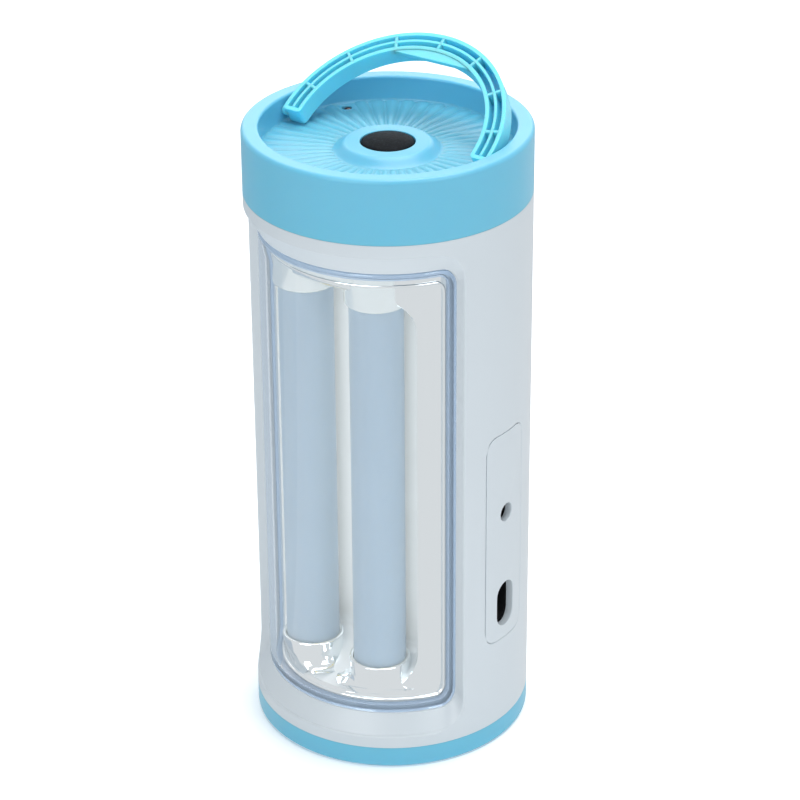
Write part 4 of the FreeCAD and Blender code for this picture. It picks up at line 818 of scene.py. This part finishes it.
class LANTERN_OT_reflector(bpy.types.Operator):
    """Makes the plated frame, its trough and the cups around the tube ends"""
    bl_idname = "lantern.reflector"
    bl_label = "Make reflector"

    def execute(self, context):
        window = context.scene.lantern.window
        corner = window.trough_corner
        core = core_of(window.trough_half, window.trough_low, window.trough_high, corner)
        reach = corner * 2
        left, right, low, high = core
        across = chained([left - reach, left, right, right + reach], [CORNER_STEPS, 26, CORNER_STEPS])
        up = chained([low - reach, low, high, high + reach], [CORNER_STEPS, 36, CORNER_STEPS])
        border = self.frame_edge(window, across, up)
        front = window.mirror_face
        rear = front - window.mirror_wall
        bm = bmesh.new()
        for face, grow in ((front, 0.0), (rear, window.mirror_wall)):
            self.trough(bm, window, core, across, up, border, face, grow)
        skin(bm, [around(border, front), around(border, rear)])
        lip_start = 0.02 * MM
        lip_end = 0.9 * MM
        # Frame faces keep the plating, and the lip just below gets the bright plating. The deeper trough gets
        # the paler copy, which paints light into it
        for part in bm.faces:
            middle = part.calc_center_median()
            sunk = front - math.hypot(middle.x, middle.y)
            part.material_index = int(sunk > lip_start) + int(lip_start < sunk < lip_end)
        bright = bmesh.new()
        for side in (-1, 1):
            self.cups(bright, bm, window, side * window.tube_spread)
        self.bead(bright, window)
        mirror = finished(bm, "plated_reflector", "chrome_plating", ["reflector"])
        for finish in ("trough_plating", "bright_plating"):
            mirror.data.materials.append(FINISHES[finish])
        finished(bright, "plated_cups", "chrome_plating", finish="bright_plating")
        return {"FINISHED"}

    def bead(self, bm, window):
        """A bright round bead on the frame, just inside the side walls of the lens."""
        core, across, up = window_grid(window, window.high - window.bead_drop)
        edge = rectangle(across, up)
        radius = window.bead
        inset = 1.3 * radius
        middle = window.corner - window.gap - window.lens - inset
        face = window.mirror_face
        sunk = face - 0.3 * MM
        section = bow((middle, face), radius, 0, 180, 8)
        section += [(middle - radius, sunk), (middle + radius, sunk), section[0]]
        skin(bm, [around(hug(edge, core, reach), depth) for reach, depth in section])

    def cups(self, bright, bm, window, across):
        """A lower cup with a flared foot and an upper hood, drawn in to the frame away from the tube."""
        gap = 0.1 * MM
        depth = 5 * MM
        hood_start = 2 * MM
        foot_end = 1.6
        sunk = 0.2 * MM
        wall = window.cup - window.tube - gap
        bead = wall / 2
        inner = window.cup - wall
        foot = window.cup_foot - window.cup
        lower = window.tube_low
        upper = window.tube_high
        band = lower - window.cup_band
        inside = (inner, lower - depth)
        cup = [inside, (inner, lower - bead)]
        cup += bow((window.cup - bead, lower - bead), bead, 180, 0, 6)
        cup += bow((window.cup + foot, band), foot, 180, 265, 10)
        cup += [(window.cup, band - foot_end * foot), inside]
        top = upper + window.hood
        hood = [(inner, top), (inner, upper + bead)]
        hood += bow((window.cup - bead, upper + bead), bead, 180, 360, 6)
        hood += [(window.cup, z) for z in spaced(upper + hood_start, top, 6)]
        hood.append((inner, top))
        face = window.mirror_face - sunk
        lower_fade = 2.2 * window.cup_band
        upper_fade = 2.6 * window.cup_band
        for target, profile, end, fade in ((bright, cup, lower, lower_fade), (bm, hood, upper, upper_fade)):
            turned = bmesh.new()
            lathe(turned, profile, (across, -window.tube_forward), 72)
            for vert in turned.verts:
                limit = face + window.cup_proud * max(0.0, 1 - abs(vert.co.z - end) / fade)
                reach = math.hypot(vert.co.x, vert.co.y)
                if reach > limit:
                    vert.co.x *= limit / reach
                    vert.co.y *= limit / reach
            mesh = meshed(turned, "cup")
            target.from_mesh(mesh)
            bpy.data.meshes.remove(mesh)

    def frame_edge(self, window, across, up):
        """The frame's outer edge on the unrolled outside, point by point with the trough."""
        grown = window.flange
        spread = (window.half_turn * BODY_RADIUS + grown) / across[-1]
        rise = (window.high - window.low + 2 * grown) / (up[-1] - up[0])
        return [(x * spread, window.low - grown + (z - up[0]) * rise) for x, z in rectangle(across, up)]

    def trough(self, bm, window, core, across, up, border, face, grow):
        """One side of the reflector's sheet: back, sloped walls, round lip and frame."""
        edge = rectangle(across, up)
        lean = math.tan(window.trough_taper)
        corner = window.trough_corner + grow
        back = window.trough_back - grow
        soft = 1.8 * MM
        loops = [[Vector((x, -back, z)) for x, z in hug(edge, core, 0.0)]]
        for spread, rise in TROUGH_EDGE:
            line = hug(edge, core, max(corner - spread * soft, 0.0))
            loops.append([Vector((x, -back - rise * soft, z)) for x, z in line])
        walls = []
        for x, z in hug(edge, core, corner):
            near_x, near_z = nearest(x, z, core)
            lean_x = (x - near_x) / corner * lean
            lean_z = (z - near_z) / corner * lean
            square = 1 + lean_x ** 2
            single = 2 * (x * lean_x + back)
            rest = x ** 2 + back ** 2 - face ** 2
            depth = (math.sqrt(single ** 2 - 4 * square * rest) - single) / (2 * square)
            walls.append((x, z, lean_x, lean_z, depth))
        for share in TROUGH_SLOPE:
            loops.append([Vector((x + lean_x * depth * share, -back - depth * share,
                                  z + lean_z * depth * share)) for x, z, lean_x, lean_z, depth in walls])
        lip = [(math.atan2(x + lean_x * depth, back + depth) * BODY_RADIUS, z + lean_z * depth)
               for x, z, lean_x, lean_z, depth in walls]
        for share, drop in TROUGH_LIP:
            loops.append(around(between(lip, border, share), face - drop * MM))
        skin(bm, loops)
        skin(bm, [[Vector((x, -back, z)) for x in across[INSIDE]] for z in up[INSIDE]], closed=False)


class LANTERN_OT_light_tubes(bpy.types.Operator):
    """Makes the two frosted light tubes"""
    bl_idname = "lantern.light_tubes"
    bl_label = "Make light tubes"

    def execute(self, context):
        window = context.scene.lantern.window
        radius = window.tube
        low = TUBE_LOW.z
        high = TUBE_HIGH.z
        soft = 0.3 * MM
        margin = 1 * MM
        profile = [(0.0, low), (radius - soft, low), (radius, low + soft)]
        profile += [(radius, z) for z in spaced(low + margin, high - margin, 16)]
        profile += [(radius, high - soft), (radius - soft, high), (0.0, high)]
        for name, side in (("left", -1), ("right", 1)):
            bm = bmesh.new()
            lathe(bm, profile, (side * window.tube_spread, -window.tube_forward), 80)
            tube = finished(bm, "frosted_tube_" + name, "frosted_tube", ["tube_diffuser_" + name])
            lets_light_through(tube)
        return {"FINISHED"}


def ring_tree(name, one, material):
    """A tree that sets copies of one shape about a centre, at even angles."""
    tree = bpy.data.node_groups.new(name, "GeometryNodeTree")
    sockets = (("Geometry", "INPUT", "Geometry"), ("Count", "INPUT", "Int"),
               ("First angle", "INPUT", "Float"), ("Step", "INPUT", "Float"),
               ("Centre", "INPUT", "Vector"), ("Geometry", "OUTPUT", "Geometry"))
    for label, way, kind in sockets:
        tree.interface.new_socket(label, in_out=way, socket_type="NodeSocket" + kind)
    given = add(tree, "NodeGroupInput").outputs
    points = add(tree, "GeometryNodePoints", {"Count": given["Count"], "Position": given["Centre"]})
    index = add(tree, "GeometryNodeInputIndex").outputs["Index"]
    step = add(tree, "ShaderNodeMath", {0: index, 1: given["Step"]}, operation="MULTIPLY")
    turned = add(tree, "ShaderNodeMath", {0: step.outputs[0], 1: given["First angle"]}, operation="ADD")
    spin = add(tree, "ShaderNodeCombineXYZ", {"Z": turned.outputs[0]})
    source = add(tree, "GeometryNodeObjectInfo", {"Object": one})
    copies = add(tree, "GeometryNodeInstanceOnPoints", {
        "Points": points.outputs[0], "Instance": source.outputs["Geometry"], "Rotation": spin.outputs[0]})
    real = add(tree, "GeometryNodeRealizeInstances", {"Geometry": copies.outputs[0]})
    finish = add(tree, "GeometryNodeSetMaterial", {"Geometry": real.outputs[0], "Material": material})
    add(tree, "NodeGroupOutput", {"Geometry": finish.outputs[0]})
    return tree


def ring_of(name, bm, material, inputs):
    """Copies one small shape around a circle and returns the mesh of all copies."""
    bmesh.ops.remove_doubles(bm, verts=bm.verts, dist=MERGE)
    bmesh.ops.recalc_face_normals(bm, faces=bm.faces)
    one = shown(name + "_one", meshed(bm, name + "_one"))
    holder = shown(name + "_holder", bpy.data.meshes.new(name + "_holder"))
    tree = ring_tree(name + "_tree", one, material)
    modifier = holder.modifiers.new("copies", "NODES")
    modifier.node_group = tree
    for socket in tree.interface.items_tree:
        if socket.in_out == "INPUT" and socket.name in inputs:
            modifier[socket.identifier] = inputs[socket.name]
    bpy.context.view_layer.update()
    graph = bpy.context.evaluated_depsgraph_get()
    whole = bpy.data.meshes.new_from_object(holder.evaluated_get(graph))
    whole.name = name
    bpy.data.objects.remove(holder)
    bpy.data.objects.remove(one)
    return whole


class LANTERN_OT_cap(bpy.types.Operator):
    """Makes the blue cap with its recess, collar and sun rays"""
    bl_idname = "lantern.cap"
    bl_label = "Make cap"

    def execute(self, context):
        cap = context.scene.lantern.cap
        top = CAP_HIGH.z
        low = HOUSING_HIGH.z
        outer = BODY_RADIUS
        floor = top - cap.recess_depth
        recess = outer - cap.rim_width
        under = floor - FLOOR_WALL
        plug = outer - 2.6 * MM
        plug_inside = plug - 1.8 * MM
        plug_end = low - 5.5 * MM
        collar = floor + cap.collar_height
        hole_edge = 0.4 * MM
        hole_step = 0.1 * MM
        straight = 0.5 * MM
        bend = cap.floor_fillet
        floor_in = cap.collar_foot + COLLAR_FADE
        profile = []
        for share in spaced(0.0, 1.0, 12):
            rise = share * share * (3 - 2 * share)
            profile.append((floor_in + (cap.collar_top - floor_in) * share, floor + cap.collar_height * rise))
        profile += [(cap.hole + hole_edge, collar), (cap.hole + hole_step, collar - hole_step),
                    (cap.hole, collar - hole_edge), (cap.hole, under), (plug_inside, under),
                    (plug_inside, plug_end), (plug, plug_end), (plug, low), (outer - SEAM, low),
                    (outer - SEAM_ROUND * SEAM, low + 0.4 * SEAM), (outer, low + SEAM)]
        profile += [(outer, z) for z in spaced(low + 2 * SEAM, top - cap.rim_edge - SEAM, 8)]
        profile += bow((outer - cap.rim_edge, top - cap.rim_edge), cap.rim_edge, 0, 90, 8)
        profile += bow((recess + cap.inner_edge, top - cap.inner_edge), cap.inner_edge, 90, 180, 6)
        profile += [(recess, top - cap.inner_edge - straight), (recess, floor + bend + straight)]
        profile += bow((recess - bend, floor + bend), bend, 0, -90, 6)
        bm = bmesh.new()
        steps = cap.ray_count * 4
        lathe(bm, profile, steps=steps)
        self.floor(bm, cap, floor, floor_in, recess - bend, steps)
        finished(bm, "cap_shell", "blue_plastic", ["top_cap"], sharp=50.0)
        self.rays(cap, floor, floor_in, recess)
        return {"FINISHED"}

    def floor(self, bm, cap, floor, inner, outer, steps):
        """The flat floor as a ring of faces, with the indicator's hole in it."""
        step = math.tau / steps
        patch = 8
        first = round(cap.lamp_turn / step) - patch // 2
        hole_low = cap.lamp_circle - 2.2 * MM
        soft = 0.15 * MM
        radii = chained([inner, hole_low, outer], [8, 6])
        before = [r for r in radii if r <= hole_low + MERGE]
        beside = [r for r in radii if r >= hole_low - MERGE]
        for k in range(steps):
            rows = before if (k - first) % steps < patch else radii
            turns = (k * step, (k + 1) * step)
            skin(bm, [[polar(r, a, floor) for a in turns] for r in rows], closed=False)
        edge = rectangle([(first + i) * step for i in range(patch + 1)], beside)
        middle = (first + patch / 2) * step
        loops = [[polar(r, a, floor) for a, r in edge]]
        for radius, height in ((cap.lamp_hole + soft, floor), (cap.lamp_hole, floor - soft),
                               (cap.lamp_hole, floor - FLOOR_WALL)):
            ring = []
            for a, r in edge:
                across = (a - middle) * cap.lamp_circle
                along = r - cap.lamp_circle
                reach = math.hypot(across, along)
                ring.append(polar(cap.lamp_circle + along * radius / reach,
                                  middle + across * radius / reach / cap.lamp_circle, height))
            loops.append(ring)
        skin(bm, loops)

    def rays(self, cap, floor, inner, outer):
        """One wedge with soft sides, set round the floor; the one at the lamp ends before it."""
        step = math.tau / cap.ray_count
        start = inner - COLLAR_FADE
        short = cap.lamp_circle - cap.lamp_hole - 1.0 * MM
        sunk = 0.05 * MM
        least = 0.05
        lead = 1.0 * MM
        fade = 3 * MM
        groups = (("cap_rays", outer, cap.lamp_turn + step, cap.ray_count - 1),
                  ("cap_short_ray", short, cap.lamp_turn, 1))
        section = [(x / 10, math.cos(math.pi * x / 10), sunk * (abs(x) == 5)) for x in range(-5, 6)]
        for name, end, first, number in groups:
            bm = bmesh.new()
            loops = []
            for place in spaced(start, end, 8):
                share = (place - inner) / (outer - inner)
                width = cap.ray_inner + (cap.ray_outer - cap.ray_inner) * share
                rise = cap.ray_height * min(1.0, max(least, (place - inner + lead) / fade))
                if end == short:
                    rise = min(rise, cap.ray_height * max(least, (end - place) / fade))
                loops.append([Vector((place, x * width, z * rise - drop)) for x, z, drop in section])
            skin(bm, loops)
            lids(bm, loops)
            mesh = ring_of(name, bm, FINISHES["blue_plastic"], {
                "Count": number, "First angle": first, "Step": step, "Centre": (0.0, 0.0, floor)})
            placed(mesh, name, "blue_plastic", sharp=60.0)


class LANTERN_OT_button(bpy.types.Operator):
    """Makes the domed rubber button"""
    bl_idname = "lantern.button"
    bl_label = "Make button"

    def execute(self, context):
        cap = context.scene.lantern.cap
        low = BUTTON_LOW.z
        top = BUTTON_HIGH.z
        edge = top - cap.dome
        ball = (cap.button ** 2 + cap.dome ** 2) / (2 * cap.dome)
        soft = 0.5 * MM
        stem = cap.button - 2 * MM
        skirt = edge - 3 * MM
        dome_start = 0.92
        profile = [(0.0, low), (stem, low), (stem, skirt), (cap.button, skirt)]
        profile += bow((cap.button - soft, edge - soft), soft, 0, 70, 4)
        for share in spaced(dome_start, 0.0, 12):
            radius = cap.button * share
            profile.append((radius, top - ball + math.sqrt(ball ** 2 - radius ** 2)))
        bm = bmesh.new()
        lathe(bm, profile, steps=96)
        finished(bm, "rubber_button", "black_rubber", ["button_cap"], body="button")
        return {"FINISHED"}


class LANTERN_OT_handle(bpy.types.Operator):
    """Makes the arched handle with its two channels, cross ribs, finger tab and pins"""
    bl_idname = "lantern.handle"
    bl_label = "Make handle"

    def execute(self, context):
        handle = context.scene.lantern.handle
        tilted = Matrix.Translation(PIVOT) @ Matrix.Rotation(handle.tilt, 4, "X")
        face = handle.depth / 2
        floor = face - handle.channel
        bm = bmesh.new()
        loops = []
        for degrees, drop, section in self.stations(handle, face, floor):
            a = math.radians(degrees)
            loops.append([tilted @ Vector((r * math.cos(a), handle.rise + r * math.sin(a) + drop, z))
                          for r, z in section])
        skin(bm, loops)
        self.tab(bm, handle, tilted, face)
        root = handle.outer - handle.wall
        tip = 0.3 * MM
        pin = [(0.0, root), (handle.pin, root), (handle.pin, handle.pin_end - tip),
               (handle.pin - tip, handle.pin_end), (0.0, handle.pin_end)]
        for side in (-1, 1):
            lathe(bm, pin, steps=32, place=tilted @ Matrix.Rotation(side * math.pi / 2, 4, "Y"))
        finished(bm, "handle_arch", "handle_blue", ["carry_handle"], body="handle", bevel=0.28 * MM)
        self.ribs(handle, tilted, floor, face)
        return {"FINISHED"}

    def stations(self, handle, face, floor):
        """The arch from end to end: an angle, a shift below the arch and a section at each place."""
        middle = (handle.outer + handle.inner) / 2
        web = handle.web / 2
        high = handle.outer - handle.wall
        low = handle.inner + handle.wall
        open_floor = [(handle.outer, -face), (handle.outer, face), (high, face), (high, floor),
                      (middle + web, floor), (middle + web, face), (middle - web, face),
                      (middle - web, floor), (low, floor), (low, face), (handle.inner, face),
                      (handle.inner, -face)]
        closed_floor = [(r, face if z == floor else z) for r, z in open_floor]
        end = -handle.tail - handle.rise
        ends = []
        for back, inset in END_EDGE:
            low_r = handle.inner + inset * handle.end_round
            high_r = handle.outer - inset * handle.end_round
            drawn = [(min(max(r, low_r), high_r), z) for r, z in closed_floor]
            ends.append((180.0, end + back * handle.end_round, drawn))
        inner_end = end + handle.end_round + 0.05 * MM
        ends += [(180.0, inner_end, closed_floor), (180.0, inner_end, open_floor)]
        arch = [(degrees, 0.0, open_floor) for degrees in spaced(180.0, 0.0, 96)]
        return ends + arch + [(0.0, drop, section) for _, drop, section in reversed(ends)]

    def tab(self, bm, handle, tilted, face):
        """A thin plate inside the arch with a straight finger edge."""
        top = face - 0.3 * MM
        low = top - handle.tab_depth
        radius = handle.inner + handle.wall / 2
        half = math.acos(handle.tab_chord / radius)
        ring = [(radius * math.sin(a), radius * math.cos(a)) for a in spaced(-half, half, 24)]
        ring += [(x, handle.tab_chord) for x in spaced(ring[-1][0], ring[0][0], 12)[1:-1]]
        loops = [[tilted @ Vector((x, y + handle.rise, z)) for x, y in ring] for z in (low, top)]
        skin(bm, loops)
        lids(bm, loops)

    def ribs(self, handle, tilted, floor, face):
        """One cross rib, set along the arch."""
        half = handle.rib / 2
        soft = 0.2 * MM
        low = floor - 0.3 * MM
        top = face - 0.02 * MM
        section = [(-half, low), (-half, face - soft), (soft - half, top), (half - soft, top),
                   (half, face - soft), (half, low)]
        bm = bmesh.new()
        ends = (handle.inner + 0.5 * handle.wall, handle.outer - 0.5 * handle.wall)
        loops = [[Vector((r, y, z)) for y, z in section] for r in spaced(*ends, 4)]
        skin(bm, loops)
        lids(bm, loops)
        first = math.pi / 2 - handle.rib_step * (handle.rib_count - 1) / 2
        mesh = ring_of("handle_ribs", bm, FINISHES["handle_blue"], {
            "Count": handle.rib_count, "First angle": first, "Step": handle.rib_step,
            "Centre": (0.0, handle.rise, 0.0)})
        mesh.transform(tilted)
        placed(mesh, "handle_ribs", "handle_blue", body="handle")


class LANTERN_OT_stage(bpy.types.Operator):
    """Sets the floor, the soft lights and the camera"""
    bl_idname = "lantern.stage"
    bl_label = "Set stage"

    def execute(self, context):
        scene = context.scene
        stage = scene.lantern.stage
        paints = scene.lantern.paints
        scene.view_settings.view_transform = "Standard"
        turns = [math.tau * i / ROUND_STEPS for i in range(ROUND_STEPS)]
        ring = [polar(stage.floor, a, 0.0) for a in turns]
        floor = self.paper("floor", ring, "matt_white_floor", paints.floor)
        floor.visible_glossy = False
        # A card seen only in reflections paints the floor's shade into them
        self.grey_card(stage, paints.card)
        scene.world = self.studio(stage)
        aim = Vector((0.0, 0.0, stage.aim))
        for softbox in SOFTBOXES:
            self.softbox(aim, *softbox)
        scene.camera = self.camera(stage, aim)
        return {"FINISHED"}

    def paper(self, name, ring, finish, colour):
        """A flat sheet of background paper."""
        mesh = bpy.data.meshes.new(name)
        mesh.from_pydata(ring, [], [range(len(ring))])
        thing = shown(name, mesh)
        mesh.materials.append(lit_paper(finish, colour))
        return thing

    def grey_card(self, stage, colour):
        """A grey card on the floor behind the window's far side, which shows only in reflections. There it
        paints dark reflections in the chrome and the lens, which stand for the shaded floor near the lantern.
        """
        height = 0.5 * MM
        turns = spaced(stage.card_turn - stage.card_half, stage.card_turn + stage.card_half, 16)
        ring = [polar(stage.card_near, a, height) for a in reversed(turns)]
        ring += [polar(stage.card_far, a, height) for a in turns]
        card = self.paper("grey_card", ring, "matt_reflected_shade_card", colour)
        card.visible_camera = False
        card.visible_diffuse = False
        card.visible_transmission = False
        card.visible_shadow = False

    def studio(self, stage):
        """White all round, and dimmer for the light that it gives and for reflections."""
        world = bpy.data.worlds.new("studio")
        world.use_nodes = True
        tree = world.node_tree
        rays = add(tree, "ShaderNodeLightPath").outputs
        least = add(tree, "ShaderNodeMath", operation="MINIMUM")
        for place, kind, strength in ((0, "Is Diffuse Ray", stage.sky), (1, "Is Glossy Ray", stage.gloss)):
            seen = add(tree, "ShaderNodeMapRange", {"Value": rays[kind], "To Min": 1.0, "To Max": strength})
            feed(tree, least, {place: seen.outputs["Result"]})
        feed(tree, tree.nodes["Background"], {"Color": linear("FFFFFF"), "Strength": least.outputs[0]})
        return world

    def softbox(self, aim, name, spot, width, power):
        """A square soft light that faces the lantern."""
        light = bpy.data.lights.new(name, "AREA")
        light.size = width
        light.energy = power
        thing = shown(name, light)
        thing.location = spot
        thing.rotation_euler = (aim - Vector(spot)).to_track_quat("-Z", "Y").to_euler()

    def camera(self, stage, aim):
        """The camera, turned a little off its aim."""
        camera = shown("camera", bpy.data.cameras.new("camera"))
        camera.data.lens = stage.focal
        camera.data.sensor_fit = "HORIZONTAL"
        camera.data.sensor_width = 36.0
        camera.data.clip_start = 0.01
        start = aim + stage.distance * Vector((0.0, -math.cos(stage.elevation), math.sin(stage.elevation)))
        look = (aim - start).to_track_quat("-Z", "Y").to_matrix().to_4x4()
        trim = Matrix.Rotation(-stage.pan, 4, "Y") @ Matrix.Rotation(stage.tilt, 4, "X")
        trim = trim @ Matrix.Rotation(stage.roll, 4, "Z")
        camera.matrix_world = Matrix.Rotation(stage.azimuth, 4, "Z") @ Matrix.Translation(start) @ look @ trim
        return camera


STEPS = (LANTERN_OT_inner_parts, LANTERN_OT_housing, LANTERN_OT_port_panel, LANTERN_OT_lens,
         LANTERN_OT_reflector, LANTERN_OT_light_tubes, LANTERN_OT_cap, LANTERN_OT_button,
         LANTERN_OT_handle, LANTERN_OT_stage)
GROUPS = (LanternCapSizes, LanternHandleSizes, LanternWindowSizes, LanternPortSizes, LanternPaints,
          LanternStage, LanternSettings)


class LANTERN_PT_steps(bpy.types.Panel):
    """Lists the steps that build the lantern"""
    bl_idname = "LANTERN_PT_steps"
    bl_label = "Lantern"
    bl_space_type = "VIEW_3D"
    bl_region_type = "UI"
    bl_category = "Lantern"

    def draw(self, context):
        for step in STEPS:
            self.layout.operator(step.bl_idname)


def register():
    for kind in (*GROUPS, *STEPS, LANTERN_PT_steps):
        bpy.utils.register_class(kind)
    bpy.types.Scene.lantern = PointerProperty(type=LanternSettings)


def unregister():
    del bpy.types.Scene.lantern
    for kind in reversed((*GROUPS, *STEPS, LANTERN_PT_steps)):
        bpy.utils.unregister_class(kind)


def main():
    register()
    for step in STEPS:
        name = step.bl_idname.split(".")[1]
        getattr(bpy.ops.lantern, name)()


if __name__ == "__main__":
    main()
